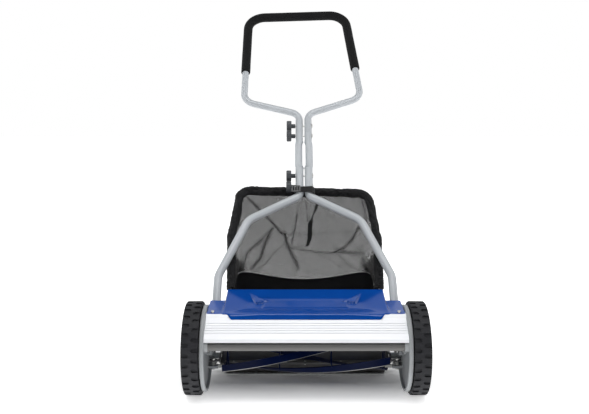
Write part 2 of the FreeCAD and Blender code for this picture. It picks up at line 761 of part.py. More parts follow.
def wheel_body():
    """Moulded wheel: rim, dished web with spokes, hub and the internal ring gear."""
    turned = wheel_profile_solid([
        (wheel_inner_x, axle_radius + running_gap), (hub_end_x, axle_radius + running_gap),
        (hub_end_x, hub_radius), (web_x + wheel_web, hub_radius), (web_x + wheel_web, rim_radius - rim_wall),
        (wheel_outer_x - 3, rim_radius - rim_wall), (wheel_outer_x - 3, rim_radius),
        (wheel_inner_x + 1, rim_radius), (wheel_inner_x + 1, rim_radius - rim_wall),
        (web_x, rim_radius - rim_wall), (web_x, hub_radius), (wheel_inner_x, hub_radius)])
    ring_outer = ring_radius + 1.25 * gear_module + ring_wall
    ring = cylinder_x(ring_outer, gear_x, web_x + 1, axle)
    ring = ring.cut(ring_gear_space(gear_x - 1, web_x))
    ring = ring.cut(cylinder_x(ring_radius - 2 * gear_module, web_x - 1, web_x + 2, axle))
    spokes = []
    for k in range(spoke_count):
        spoke = box(web_x + wheel_web - 1, web_x + wheel_web + spoke_depth, -spoke_thickness / 2,
                    spoke_thickness / 2, axle[1] + cap_radius + 3, axle[1] + rim_radius - 1)
        spoke.rotate(Vec(0, axle[0], axle[1]), ALONG_X, 360 * k / spoke_count)
        spokes.append(spoke)
    return fused(turned, [ring] + spokes)


def tyre():
    r = wheel_radius
    return wheel_profile_solid([
        (wheel_inner_x + 1, rim_radius), (wheel_outer_x - 3, rim_radius), (wheel_outer_x, rim_radius + 2),
        (wheel_outer_x, r - 4.5), (wheel_outer_x - 1.5, r - 2), (wheel_outer_x - 6, r - 0.4),
        (wheel_outer_x - 14, r), (wheel_inner_x + 14, r), (wheel_inner_x + 6, r - 0.4),
        (wheel_inner_x + 1.5, r - 2), (wheel_inner_x, r - 4.5), (wheel_inner_x, rim_radius + 2)])


def stub_axle():
    """Headed axle, with a thread for the nut at its outer end."""
    return fused(cylinder_x(axle_radius, rim_inner_x + 1, hub_end_x + 2 + nut_height, axle),
                 [cylinder_x(axle_head_radius, rim_inner_x + 1 - axle_head_height, rim_inner_x + 1, axle)])


def axle_nut():
    start = hub_end_x + face_gap
    nut = hexagon_x(nut_radius, start + 1.4, start + 1.4 + nut_height - 1, axle)
    washer = cylinder_x(nut_radius + 1, start, start + 1.5, axle)
    return fused(nut, [washer]).cut(cylinder_x(axle_radius, 0, far_x, axle))


def hub_cap():
    base = web_x + wheel_web
    top = wheel_outer_x - 0.5
    return wheel_profile_solid([
        (base, cap_radius), (top - 3, cap_radius), (top - 0.8, cap_radius - 3), (top, cap_radius - 8),
        (top, 0), (top - cap_wall, 0), (top - cap_wall, cap_radius - 9), (top - 3.5, cap_radius - cap_wall - 1),
        (base, cap_radius - cap_wall)])


# ---- rear roller ---------------------------------------------------------------------
def roller_arm():
    """Flat arm: roller at one end, pivot, and a curved slot for the clamp bolt."""
    line = Vec(0, arm_direction[0], arm_direction[1])
    side = Vec(0, -arm_direction[1], arm_direction[0]) * arm_half_width
    pivot_point = Vec(arm_x, arm_pivot[0], arm_pivot[1])
    far = pivot_point + line * arm_length
    near = pivot_point - line * arm_slot_radius
    strip = Part.Face(Part.makePolygon([near + side, far + side, far - side, near - side, near + side]))
    arm = fused(strip.extrude(Vec(arm_sheet, 0, 0)),
                [cylinder_x(arm_half_width, arm_x, arm_x + arm_sheet, roller_axis),
                 cylinder_x(arm_end_radius, arm_x, arm_x + arm_sheet, clamp_place)])
    cuts = [cylinder_x(arm_bolt_radius + running_gap, 0, far_x, arm_pivot),
            cylinder_x(roller_rod_radius, 0, far_x, roller_axis)]
    steps = 8
    for k in range(-steps, steps + 1):
        hole = cylinder_x(arm_bolt_radius + 0.3, arm_x - 1, arm_x + arm_sheet + 1, clamp_place)
        hole.rotate(pivot_point, ALONG_X, (arm_swing + 0.5) * k / steps)
        cuts.append(hole)
    return arm.cut(cuts)


def arm_nut(place):
    return hexagon_x(arm_bolt_radius + 3.5, arm_x - 5 - face_gap, arm_x - face_gap, place).cut(
        cylinder_x(arm_bolt_radius, 0, far_x, place))


def roller_pieces():
    """Short rollers side by side on one rod."""
    pitch = (2 * roller_half_width + roller_gap) / roller_count
    rollers = []
    for k in range(roller_count):
        start = -roller_half_width + pitch * k
        end = start + pitch - roller_gap
        shell = ring_x(roller_radius, roller_radius - roller_wall, start, end, roller_axis)
        hub = roller_rod_radius + running_gap
        walls = [ring_x(roller_radius - roller_wall, hub, at, at + 4, roller_axis) for at in (start, end - 4)]
        rollers.append(fused(shell, walls))
    return rollers


def roller_rod():
    end = arm_x + arm_sheet
    rod = cylinder_x(roller_rod_radius, -end, end, roller_axis)
    collar = ring_x(roller_rod_radius + 3, roller_rod_radius, roller_half_width + 1, arm_x, roller_axis)
    return fused(rod, both_sides(collar))


# ---- handle --------------------------------------------------------------------------
def upright(x, along):
    return Vec(x, 0, along)


def lower_leg():
    """Bent tube from below the pivot to the lower clamp joint, drawn upright on the right."""
    points = [upright(leg_x, -leg_tail), upright(*leg_bend_low), upright(*leg_bend_high),
              upright(neck_x, leg_neck), upright(neck_x, leg_top)]
    leg = tube_along(points, [bend_radius, bend_radius, leg_neck_bend_radius], leg_radius, tube_wall)
    cross = Part.makeCylinder(pivot_bush_radius, 2 * leg_radius + 4, Vec(leg_x - leg_radius - 2, 0, 0), ALONG_X)
    return leg.cut([cross] + leg_bolt_holes(bolt_heights[:2]))


def leg_bolt_holes(heights):
    return [cylinder_x(bolt_radius, -far_x, far_x, (0, height)) for height in heights]


def pivot_bush():
    bush = Part.makeCylinder(pivot_bush_radius, 2 * leg_radius, Vec(leg_x - leg_radius, 0, 0), ALONG_X)
    return bush.cut(Part.makeCylinder(pivot_stud_radius + running_gap, 2 * leg_radius + 2,
                                      Vec(leg_x - leg_radius - 1, 0, 0), ALONG_X))


def leg_plug():
    """Plastic plug in the open lower end of a leg."""
    inner = Part.makeCylinder(leg_radius - tube_wall, plug_length, Vec(leg_x, 0, -leg_tail))
    cap = Part.makeCylinder(leg_radius, 2.5, Vec(leg_x, 0, -leg_tail - 2.5))
    return fused(inner, [cap])


def pivot_stud():
    """Headed stud through the leg, with a domed nut on its inner end."""
    inner_end = leg_x - leg_radius - face_gap
    stud = sunk_bolt(pivot_stud_radius, handle_pivot, inner_end - 7)
    nut = cylinder_x(pivot_stud_radius + 4, inner_end - 6, inner_end, handle_pivot)
    dome = cone_x(pivot_stud_radius + 1, pivot_stud_radius + 4, inner_end - 9, inner_end - 6, handle_pivot)
    return fused(stud, [nut, dome])


def leaned(points):
    """Loop points above its neck, turned a little to the left in the handle's plane."""
    turn = math.radians(loop_lean)
    moved = []
    for point in points:
        dx = point.x
        dz = point.z - loop_neck
        moved.append(upright(dx * math.cos(turn) - dz * math.sin(turn),
                             loop_neck + dx * math.sin(turn) + dz * math.cos(turn)))
    return moved


def loop_points():
    left = leaned([upright(-loop_shoulder[0], loop_shoulder[1]), upright(-loop_corner[0], loop_corner[1])])
    right = leaned([upright(loop_corner[0], loop_corner[1]), upright(loop_shoulder[0], loop_shoulder[1])])
    return [upright(-neck_x, loop_foot), upright(-neck_x, loop_neck)] + left + right + [
        upright(neck_x, loop_neck), upright(neck_x, loop_foot)]


loop_bends = [loop_neck_bend_radius, shoulder_bend_radius, corner_bend_radius, corner_bend_radius,
              shoulder_bend_radius, loop_neck_bend_radius]


def loop_handle():
    loop = tube_along(loop_points(), loop_bends, loop_radius, tube_wall)
    return loop.cut(leg_bolt_holes(bolt_heights[2:]))


def foam_grip():
    """Soft sleeve over the top bar and the upper sides of the loop."""
    side_drop = (loop_corner[1] - grip_foot) / (loop_corner[1] - loop_shoulder[1])
    foot_x = loop_corner[0] + (loop_shoulder[0] - loop_corner[0]) * side_drop
    ends = leaned([upright(-foot_x, grip_foot), upright(foot_x, grip_foot)])
    corners = loop_points()[3:5]
    points = [ends[0]] + corners + [ends[1]]
    sleeve = rod_along(points, [corner_bend_radius] * 2, grip_radius)
    return sleeve.cut(rod_along(points, [corner_bend_radius] * 2, loop_radius))


def splice_tube():
    """Round in the middle, and opened into a half pipe round a leg at each end (right side)."""
    cuts = []
    solids = []
    for leg_end, far_end, inner in ((leg_top, splice_low, splice_inner_low),
                                    (loop_foot, splice_high, splice_inner_high)):
        toward = 1 if far_end < leg_end else -1
        outer = inner + splice_sheet
        round_from = leg_end + toward * splice_fade
        low, high = sorted((far_end, leg_end))
        half = Part.makeCylinder(outer, high - low, Vec(neck_x, 0, low))
        half = half.cut(Part.makeCylinder(inner, high - low + 2, Vec(neck_x, 0, low - 1)))
        half = half.cut(box(neck_x - 50, neck_x, -50, 50, low - 1, high + 1))
        blend = splice_blend(leg_end, outer, round_from, splice_radius)
        blend = blend.cut(splice_blend(leg_end, inner, round_from, splice_radius - splice_sheet))
        solids += [half, blend]
        cuts.append((low, high))
    low, high = leg_top + splice_fade, loop_foot - splice_fade
    middle = Part.makeCylinder(splice_radius, high - low, Vec(splice_x, 0, low)).cut(
        Part.makeCylinder(splice_radius - splice_sheet, high - low + 2, Vec(splice_x, 0, low - 1)))
    tube = fused(middle, solids)
    seats = [Part.makeCylinder(bolt_head_radius, 20, Vec(splice_face_x, 0, height), ALONG_X)
             for height in bolt_heights]
    return tube.cut(leg_bolt_holes(bolt_heights) + seats)


splice_face_x = neck_x + min(splice_inner_low, splice_inner_high) + splice_sheet - 0.4


def splice_blend(at_leg, radius_leg, at_round, radius_round):
    rings = [Part.Wire(Part.makeCircle(radius_leg, Vec(neck_x, 0, at_leg), Vec(0, 0, 1))),
             Part.Wire(Part.makeCircle(radius_round, Vec(splice_x, 0, at_round), Vec(0, 0, 1)))]
    return Part.makeLoft(rings, True, True)


knob_base_x = neck_x + splice_inner_low + splice_sheet + face_gap
knob_face_x = knob_base_x + knob_stem + knob_thickness


def clamp_bolt(height):
    """Round-headed bolt from the right, its thread ending inside the knob on the left."""
    shank = Part.makeCylinder(bolt_radius, splice_face_x + knob_face_x - 5,
                              Vec(-knob_face_x + 5, 0, height), ALONG_X)
    head = Part.makeCylinder(bolt_head_radius, bolt_head_height, Vec(splice_face_x, 0, height), ALONG_X)
    rim = [edge for edge in head.Edges if edge.Closed and edge.BoundBox.XMin > splice_face_x + 1]
    head = head.makeFillet(bolt_head_height * 0.8, rim)
    return fused(shank, [head])


def clamp_knob(height):
    """Fluted knob on a clamp bolt."""
    head = Part.makeCylinder(knob_radius, knob_thickness, Vec(-knob_face_x, 0, height), ALONG_X)
    head = head.makeFillet(2.5, [edge for edge in head.Edges if edge.Closed and edge.Length > 50])
    flutes = []
    for k in range(knob_flutes):
        turn = 2 * math.pi * (k + 0.5) / knob_flutes
        flutes.append(Part.makeCylinder(3.2, knob_thickness + 2,
                                        Vec(-knob_face_x - 1, (knob_radius + 1.6) * math.cos(turn),
                                            height + (knob_radius + 1.6) * math.sin(turn)), ALONG_X))
    stem = Part.makeCylinder(knob_stem_radius, knob_stem + 1, Vec(-knob_base_x - knob_stem - 1, 0, height), ALONG_X)
    knob = fused(head.cut(flutes), [stem])
    bore = Part.makeCylinder(bolt_radius + running_gap, far_x, Vec(-knob_face_x + 4.5, 0, height), ALONG_X)
    return knob.cut(bore)


# ---- strap ---------------------------------------------------------------------------
strap_front = leg_radius + splice_sheet + strap_clearance + 0.1
strap_side = neck_x + leg_radius + strap_spread + strap_clearance
strap_middle = leg_neck + strap_above_neck


def band(x_from, x_to, above_from, above_to, along_from, along_to):
    """Upright box: above is towards the operator's front face of the handle."""
    return box(x_from, x_to, -above_to, -above_from, along_from, along_to)


def strap():
    """Webbing round the two tubes at the foot of the lower clamp joint."""
    low = strap_middle - strap_width / 2
    high = strap_middle + strap_width / 2
    outer = band(-strap_side - strap_sheet, strap_side + strap_sheet, -strap_front - strap_sheet,
                 strap_front + strap_sheet, low, high)
    inner = band(-strap_side, strap_side, -strap_front, strap_front, low - 1, high + 1)
    return outer.cut(inner)


def strap_buckle():
    """Ladder buckle lying on the front of the webbing."""
    above = strap_front + strap_sheet
    low = strap_middle - strap_width / 2 - 2
    high = strap_middle + strap_width / 2 + 2
    left = -strap_side - buckle_overhang
    frame_piece = band(left, left + buckle_length, above, above + 4, low, high)
    slots = [band(left + 4 + 7.5 * k, left + 8.5 + 7.5 * k, above - 1, above + 5, low + 4, high - 4)
             for k in range(3)]
    return frame_piece.cut(slots)


def strap_tail():
    """Loose end of the webbing, hanging down between the tubes onto the catcher's hem."""
    above = strap_front + strap_sheet
    return band(2.0, 24.0, above, above + strap_sheet, strap_middle - strap_width / 2 - 14,
                strap_middle + strap_width / 2)


# ---- catcher -------------------------------------------------------------------------
hook_radius = rear_rod_radius + rim_wire_radius + face_gap


def hook_points(side):
    """The wire's lower end, which lies over the rear rod and lifts off up and back."""
    x = side * rim_low_x
    y, z = rear_rod_place
    slope = math.radians(catcher_slope)
    tip = Vec(x, y - hook_radius * math.sin(slope) - hook_nose * math.cos(slope) + hook_ease,
              z + hook_radius * math.cos(slope) - hook_nose * math.sin(slope) + hook_ease)
    crown = Vec(x, y + hook_radius * 0.9, z + hook_radius * 1.45)
    return [tip, crown]


def rim_points(with_hooks):
    """The catcher's wire: from one hook up under the leg, across and down to the other hook."""
    left = [handle_point(-rim_low_x, rim_low, -rim_drop), handle_point(-rim_middle_x, rim_middle, -rim_drop),
            handle_point(-rim_top_x, rim_top, -rim_drop)]
    right = [Vec(-point.x, point.y, point.z) for point in reversed(left)]
    if not with_hooks:
        return left + right
    return hook_points(-1) + left + right + hook_points(1)[::-1]


def rim_wire():
    bends = [3.5, 14, rim_bend_radius * 3, rim_bend_radius, rim_bend_radius, rim_bend_radius * 3, 14, 3.5]
    return rod_along(rim_points(True), bends, rim_wire_radius)


def rim_hem():
    """Fabric sleeve round the rim wire."""
    bends = [rim_bend_radius * 3, rim_bend_radius, rim_bend_radius, rim_bend_radius * 3]
    points = rim_points(False)
    start = points[0] + (points[1] - points[0]).normalize() * 16
    end = points[-1] + (points[-2] - points[-1]).normalize() * 16
    points = [start] + points[1:-1] + [end]
    return rod_along(points, bends, hem_radius).cut(rod_along(points, bends, rim_wire_radius))


def rim_height(y):
    """Height of the bag's upper edge, just under the hem."""
    base = handle_point(0, 0, -rim_drop)
    slope = math.tan(math.radians(handle_angle))
    return base.z + (y - base.y) * slope - (hem_radius + face_gap) / math.cos(math.radians(handle_angle))


def rim_half_width(y):
    along = (y - handle_point(0, 0, -rim_drop).y) / math.cos(math.radians(handle_angle))
    if along < rim_middle:
        share = (along - rim_low) / (rim_middle - rim_low)
        return rim_low_x + (rim_middle_x - rim_low_x) * share
    share = (along - rim_middle) / (rim_top - rim_middle)
    return rim_middle_x + (rim_top_x - rim_middle_x) * min(share, 1.0)


def bag_block(inset):
    """Bag as a solid block, drawn in by inset at its sides, floor and back."""
    rim_base = handle_point(0, 0, -rim_drop)
    middle_y = rim_base.y + rim_middle * math.cos(math.radians(handle_angle))
    stations = [bag_front, middle_y, bag_rear]
    if inset > 0:
        stations = [bag_front - 1, middle_y, bag_rear - inset]
    sections = []
    for y in stations:
        top = rim_height(y) + (0 if inset == 0 else 60)
        half = rim_half_width(y) - inset
        floor = bag_floor + inset
        sections.append(Part.makePolygon([Vec(-half, y, floor), Vec(half, y, floor), Vec(half, y, top),
                                          Vec(-half, y, top), Vec(-half, y, floor)]))
    return Part.makeLoft(sections, True, True)


def tray_cutter():
    """Everything below the line where the solid floor tray ends and the mesh begins."""
    return slab_x([(bag_front - 20, 0), (bag_rear + 20, 0), (bag_rear + 20, tray_rear),
                   (bag_front - 20, tray_front)], -far_x, far_x)


def pull_strip():
    hang = handle_point(0, rim_top, -rim_drop)
    top = hang.z - hem_radius - face_gap
    return box(pull_strip_x - pull_strip_width / 2, pull_strip_x + pull_strip_width / 2,
               hang.y - 1, hang.y + 1, top - pull_strip_drop, top)


# ---- the nodes -----------------------------------------------------------------------
def build_chassis():
    plate = side_plate()
    node("side_plate_right", [plate])
    node("side_plate_left", [mirrored(plate)])
    node("front_shield", [front_shield()])
    node("top_cover", [top_cover()])
    node("front_tie_tube", [tie_tube()])
    rod_end = plate_face_x - 2
    node("rear_tie_rod", [cylinder_x(rear_rod_radius, -rod_end, rod_end, rear_rod_place)])
    screws = [flush_screw(place, rim_inner_x - 14) for place in port_places]
    node("shield_screws", [shape for screw in screws for shape in both_sides(screw)])
    node("cover_screws", both_sides(flush_screw(cover_screw, rim_inner_x - wing_gap - cover_sheet - 3))
         + both_sides(wing_screw()))
    node("tie_tube_bolts", both_sides(sunk_bolt(tie_bolt_radius, tie_tube_place,
                                                web_inner_x - tie_boss_depth - tie_plug_length + 4)))
    node("stub_axle_right", [stub_axle()])
    node("stub_axle_left", [mirrored(stub_axle())])
    node("reel_bearings", both_sides(reel_bearing()))
    node("handle_pivot_studs", both_sides(pivot_stud()))
    node("roller_arm_bolts", [shape for place in (arm_pivot, clamp_place)
                              for shape in both_sides(sunk_bolt(arm_bolt_radius, place, arm_x - 7))])
    node("roller_arm_nuts", [shape for place in (arm_pivot, clamp_place)
                             for shape in both_sides(arm_nut(place))])
    node("knife_pivot_pins", both_sides(cylinder_x(carrier_pin_radius, ear_x - 2, plate_face_x - 2,
                                                   carrier_pivot)))
    node("knife_adjusters", both_sides(adjuster_bolt()))
    node("adjuster_springs", both_sides(adjuster_spring()))


def build_knife():
    node("knife_carrier", [knife_carrier()])
    node("bed_knife", [bed_knife()])
    node("knife_screws", [knife_screw(x) for x in screw_xs])


def build_reel():
    blades = [reel_blade(index) for index in range(reel_blades)]
    places = (-spider_outer_x, -spider_inner_x, spider_inner_x, spider_outer_x)
    node("reel_shaft", [reel_shaft()])
    node("reel_blades", blades)
    node("reel_spiders", [spider(x, blades) for x in places])
    node("drive_pawls", both_sides(drive_pawl()))
    pinion = pinion_body(gear_x, gear_x + gear_width).cut(
        cylinder_x(shaft_radius + running_gap, 0, far_x, reel_axis))
    node("pinion_right", [pinion])
    node("pinion_left", [mirrored(pinion)])


def build_wheels():
    for name, shape in (("wheel", wheel_body()), ("tyre", tyre()), ("hub_cap", hub_cap())):
        node(name + "_right", [shape])
        node(name + "_left", [mirrored(shape)])
    node("axle_nuts", both_sides(axle_nut()))


def build_roller():
    node("roller_arms", both_sides(roller_arm()))
    node("roller_rod", [roller_rod()])
    node("rear_roller", roller_pieces())


def build_handle():
    leg = lower_leg()
    node("lower_leg_right", [on_handle(leg)])
    node("lower_leg_left", [on_handle(mirrored(leg))])
    node("pivot_bushes", [on_handle(shape) for shape in both_sides(pivot_bush())])
    node("leg_plugs", [on_handle(shape) for shape in both_sides(leg_plug())])
    splice = splice_tube()
    node("splice_tube_right", [on_handle(splice)])
    node("splice_tube_left", [on_handle(mirrored(splice))])
    node("loop_handle", [on_handle(loop_handle())])
    node("foam_grip", [on_handle(foam_grip())])
    node("clamp_bolts", [on_handle(clamp_bolt(height)) for height in bolt_heights])
    for index, height in enumerate(bolt_heights):
        node("clamp_knob_%d" % (index + 1), [on_handle(clamp_knob(height))])
    node("catcher_strap", [on_handle(strap())])
    node("strap_buckle", [on_handle(strap_buckle())])
    node("strap_tail", [on_handle(strap_tail())])


def build_catcher():
    node("catcher_wire", [rim_wire()])
    node("catcher_hem", [rim_hem()])
    bag = bag_block(0).cut(bag_block(bag_wall))
    cutter = tray_cutter()
    node("catcher_tray", [bag.common(cutter)])
    node("catcher_mesh", [bag.cut(cutter)])
    node("pull_strip", [pull_strip()])


def write_nodes():
    """Moves the origin to the middle of the bottom of the whole model, then writes each node."""
    whole = Part.makeCompound(list(nodes.values())).optimalBoundingBox(False, False)
    shift = Vec(-(whole.XMin + whole.XMax) / 2, -(whole.YMin + whole.YMax) / 2, -whole.ZMin)
    os.makedirs("parts", exist_ok=True)
    for name, shape in nodes.items():
        moved = shape.copy()
        moved.translate(shift)
        moved.exportStep("parts/%s.step" % name)
    print("shift", shift.x, shift.y, shift.z, "size", whole.XLength, whole.YLength, whole.ZLength)


build_chassis()
build_knife()
build_reel()
build_wheels()
build_roller()
build_handle()
build_catcher()
write_nodes()
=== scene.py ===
"""Looks of a push reel mower with a clip-on grass catcher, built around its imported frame.

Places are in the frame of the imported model: X across the mower, Y to the rear, Z up from the
lawn. Points are in metres, and the named sizes of the mower's pieces are in millimetres.
"""

import functools
import json
import logging
import math
from collections.abc import Callable, Sequence
from dataclasses import dataclass
from enum import Enum

import bmesh
import bpy
from mathutils import Matrix, Vector, noise


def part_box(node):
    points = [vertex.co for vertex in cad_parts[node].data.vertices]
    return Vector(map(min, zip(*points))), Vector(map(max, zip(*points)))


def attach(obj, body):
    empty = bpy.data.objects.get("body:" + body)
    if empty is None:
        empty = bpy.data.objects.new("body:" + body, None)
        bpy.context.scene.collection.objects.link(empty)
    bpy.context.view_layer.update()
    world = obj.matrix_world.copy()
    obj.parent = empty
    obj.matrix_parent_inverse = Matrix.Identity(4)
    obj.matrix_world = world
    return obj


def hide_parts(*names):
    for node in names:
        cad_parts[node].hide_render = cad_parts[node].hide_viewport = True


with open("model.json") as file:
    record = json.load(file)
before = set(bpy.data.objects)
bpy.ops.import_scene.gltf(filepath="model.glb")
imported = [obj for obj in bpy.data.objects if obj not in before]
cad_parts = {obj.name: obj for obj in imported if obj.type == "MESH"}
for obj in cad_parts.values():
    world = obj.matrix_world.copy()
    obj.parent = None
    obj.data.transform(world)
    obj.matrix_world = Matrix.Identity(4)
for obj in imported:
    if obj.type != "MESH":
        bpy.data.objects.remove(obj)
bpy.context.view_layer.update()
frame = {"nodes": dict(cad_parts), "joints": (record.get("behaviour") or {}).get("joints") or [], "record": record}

log = logging.getLogger("reel_mower")

MM = 0.001
Pair = tuple[float, float]
Triple = tuple[float, float, float]
Ramp = tuple[float, float, float, float]
Socket = bpy.types.NodeSocket
Thing = bpy.types.Object


# ---- places that the frame gives ---------------------------------------------------------
def joint_place(name: str) -> Vector:
    """Returns the point that a joint turns about."""
    return Vector(next(j["pos_m"] for j in frame["joints"] if j["name"] == name))


AXLE = joint_place("wheel_right_spin")
REEL_AXIS = joint_place("reel_spin")


@dataclass(frozen=True)
class HandlePlane:
    """The plane of the handle: its pivot, and the directions along it and square to it."""

    pivot: Vector
    along: Vector
    above: Vector

    @classmethod
    def from_joints(cls) -> "HandlePlane":
        """Reads the plane off the handle's pivot and the clamp knobs.

        Returns:
            The plane, with its pivot in the mower's middle.
        """
        along = (joint_place("knob_4_turn") - joint_place("knob_1_turn")).normalized()
        pivot = joint_place("handle_pivot")
        pivot.x = 0.0
        return cls(pivot, along, Vector((0.0, -along.z, along.y)))

    def point(self, x: float, along: float, above: float = 0.0) -> Vector:
        """Places a point by its distances from the pivot.

        Args:
            x: Distance across the mower, in millimetres.
            along: Distance up the handle, in millimetres.
            above: Distance towards the front of its plane, in millimetres.

        Returns:
            The point in metres.
        """
        start = self.pivot + self.along * (along * MM) + self.above * (above * MM)
        return start + Vector((x * MM, 0.0, 0.0))


HANDLE = HandlePlane.from_joints()


def mower_point(x: float, behind: float, up: float) -> Vector:
    """Returns a point from millimetres across, behind the wheel axle, and above the lawn."""
    return Vector((x * MM, AXLE.y + behind * MM, up * MM))


# ---- shader graphs -----------------------------------------------------------------------
class PatternBase(Enum):
    """Where a pattern on a surface is read."""

    OBJECT = "Object"
    OWN_MAP = "UV"


class Graph:
    """Adds nodes to one node tree, and joins or fills their sockets."""

    def __init__(self, tree: bpy.types.NodeTree) -> None:
        """Keeps the tree that the nodes go into."""
        self.tree = tree

    def fill(self, node: bpy.types.Node, inputs: dict[str | int, object]) -> None:
        """Fills a node's inputs.

        Args:
            node: The node.
            inputs: Socket name or number to a value, or to the socket that feeds it.
        """
        for name, value in inputs.items():
            if isinstance(value, Socket):
                self.tree.links.new(value, node.inputs[name])
            else:
                node.inputs[name].default_value = value

    def add(self, kind: str, inputs: dict[str | int, object] | None = None,
            **settings: object) -> bpy.types.Node:
        """Adds one node.

        Args:
            kind: The node's type.
            inputs: Socket name or number to a value, or to the socket that feeds it.
            **settings: The node's own properties.

        Returns:
            The node.
        """
        node = self.tree.nodes.new(kind)
        for name, value in settings.items():
            setattr(node, name, value)
        self.fill(node, inputs or {})
        return node

    def group(self, tree: bpy.types.NodeTree, inputs: dict[str | int, object]) -> bpy.types.NodeOutputs:
        """Returns the outputs of a node group, placed with its own values."""
        return self.add("ShaderNodeGroup", inputs, node_tree=tree).outputs

    def place(self, base: PatternBase) -> Socket:
        """Returns the coordinates that a pattern reads."""
        return self.add("ShaderNodeTexCoord").outputs[base.value]

    def math(self, operation: str, *values: object, clamp: bool = False) -> Socket:
        """Returns the result of a Math node."""
        node = self.add("ShaderNodeMath", dict(enumerate(values)), operation=operation, use_clamp=clamp)
        return node.outputs[0]

    def vector(self, operation: str, *values: object) -> Socket:
        """Returns the vector that a Vector Math node gives."""
        return self.add("ShaderNodeVectorMath", dict(enumerate(values)), operation=operation).outputs[0]

    def measure(self, operation: str, *values: object) -> Socket:
        """Returns the number that a Vector Math node gives."""
        return self.add("ShaderNodeVectorMath", dict(enumerate(values)), operation=operation).outputs["Value"]

    def remap(self, value: Socket, from_min: object, from_max: object, to_min: float, to_max: float) -> Socket:
        """Returns value carried from one range to another, held within it."""
        node = self.add("ShaderNodeMapRange", {0: value, 1: from_min, 2: from_max, 3: to_min, 4: to_max})
        return node.outputs[0]

    def spread(self, pattern: Socket, low: float = 0.0, high: float = 1.0) -> Socket:
        """Returns a noise pattern spread over a range, from where most of its values lie."""
        return self.remap(pattern, 0.3, 0.7, low, high)

    def noise(self, where: Socket, scale: object, detail: float = 2.0, roughness: float = 0.5) -> Socket:
        """Returns a noise pattern's value at a place."""
        inputs = {"Vector": where, "Scale": scale, "Detail": detail, "Roughness": roughness}
        return self.add("ShaderNodeTexNoise", inputs).outputs[0]

    def mix(self, share: object, first: object, second: object) -> Socket:
        """Returns a colour between two others."""
        return self.add("ShaderNodeMix", {0: share, 6: first, 7: second}, data_type="RGBA").outputs[2]


def make_group(name: str, inputs: dict[str, float | None], outputs: dict[str, str],
               fill: Callable[[Graph, dict[str, Socket]], dict[str, Socket]]) -> bpy.types.NodeTree:
    """Builds a shader node group.

    Args:
        name: The group's name.
        inputs: Default of each input by its name; None makes it a vector.
        outputs: Kind of each output, Float or Vector, by its name.
        fill: Adds the nodes, and returns the socket for each output.

    Returns:
        The group's tree.
    """
    tree = bpy.data.node_groups.new(name, "ShaderNodeTree")
    for label, default in inputs.items():
        kind = "NodeSocketVector" if default is None else "NodeSocketFloat"
        socket = tree.interface.new_socket(label, in_out="INPUT", socket_type=kind)
        if default is not None:
            socket.default_value = default
    for label, kind in outputs.items():
        tree.interface.new_socket(label, in_out="OUTPUT", socket_type="NodeSocket" + kind)
    graph = Graph(tree)
    given = graph.add("NodeGroupInput").outputs
    graph.add("NodeGroupOutput", fill(graph, {socket.name: socket for socket in given if socket.name}))
    return tree


def fill_relief(graph: Graph, given: dict[str, Socket]) -> dict[str, Socket]:
    """Adds two sizes of noise: fine grain in the surface, and broad patches of tone.

    Args:
        graph: The group's graph.
        given: The group's inputs: Vector, and the sizes Grain and Patch in metres.

    Returns:
        The outputs Fine and Broad.
    """
    fine_scale = graph.math("DIVIDE", 1.0, given["Grain"])
    broad_scale = graph.math("DIVIDE", 1.0, given["Patch"])
    return {"Fine": graph.noise(given["Vector"], fine_scale, 3.0, 0.6),
            "Broad": graph.noise(given["Vector"], broad_scale, 4.0, 0.55)}


def fill_edges(graph: Graph, given: dict[str, Socket]) -> dict[str, Socket]:
    """Rounds the look of a sharp edge, and marks in patches where the edge is.

    Args:
        graph: The group's graph.
        given: The group's inputs: Vector, and the Radius of the edge in metres.

    Returns:
        The outputs Normal and Mask.
    """
    rounded = graph.add("ShaderNodeBevel", {"Radius": given["Radius"]}, samples=6).outputs[0]
    true = graph.add("ShaderNodeNewGeometry").outputs["Normal"]
    edge = graph.remap(graph.measure("DOT_PRODUCT", rounded, true), 0.995, 0.86, 0.0, 1.0)
    patchy = graph.remap(graph.noise(given["Vector"], 140.0, 3.0, 0.6), 0.40, 0.62, 0.0, 1.0)
    return {"Normal": rounded, "Mask": graph.math("MULTIPLY", edge, patchy)}


def fill_threads(graph: Graph, given: dict[str, Socket]) -> dict[str, Socket]:
    """Weaves warp and weft over and under each other.

    Args:
        graph: The group's graph.
        given: The group's inputs: Vector on a flat map in metres, the Pitch of the threads
            in metres, and Thread, the share of the pitch that a thread fills.

    Returns:
        The outputs Height, and Solid, which is 0 in the holes.
    """
    flat = graph.add("ShaderNodeSeparateXYZ", {0: given["Vector"]}).outputs
    cells = [graph.math("DIVIDE", flat[axis], given["Pitch"]) for axis in (0, 1)]
    ridges = []
    for cell in cells:
        from_middle = graph.math("ABSOLUTE", graph.math("SUBTRACT", graph.math("FRACT", cell), 0.5))
        ridges.append(graph.math("SUBTRACT", 1.0, graph.math("MULTIPLY", from_middle, 2.0)))
    square = graph.add("ShaderNodeCombineXYZ", {0: cells[0], 1: cells[1], 2: 0.25}).outputs[0]
    over = graph.add("ShaderNodeTexChecker", {"Vector": square, "Scale": 1.0}).outputs["Fac"]
    height = graph.math("ADD", graph.math("MULTIPLY", ridges[0], over),
                        graph.math("MULTIPLY", ridges[1], graph.math("SUBTRACT", 1.0, over)))
    solid = graph.remap(graph.math("MAXIMUM", *ridges), graph.math("SUBTRACT", 1.0, given["Thread"]),
                        graph.math("SUBTRACT", 1.04, given["Thread"]), 0.0, 1.0)
    return {"Height": height, "Solid": solid}


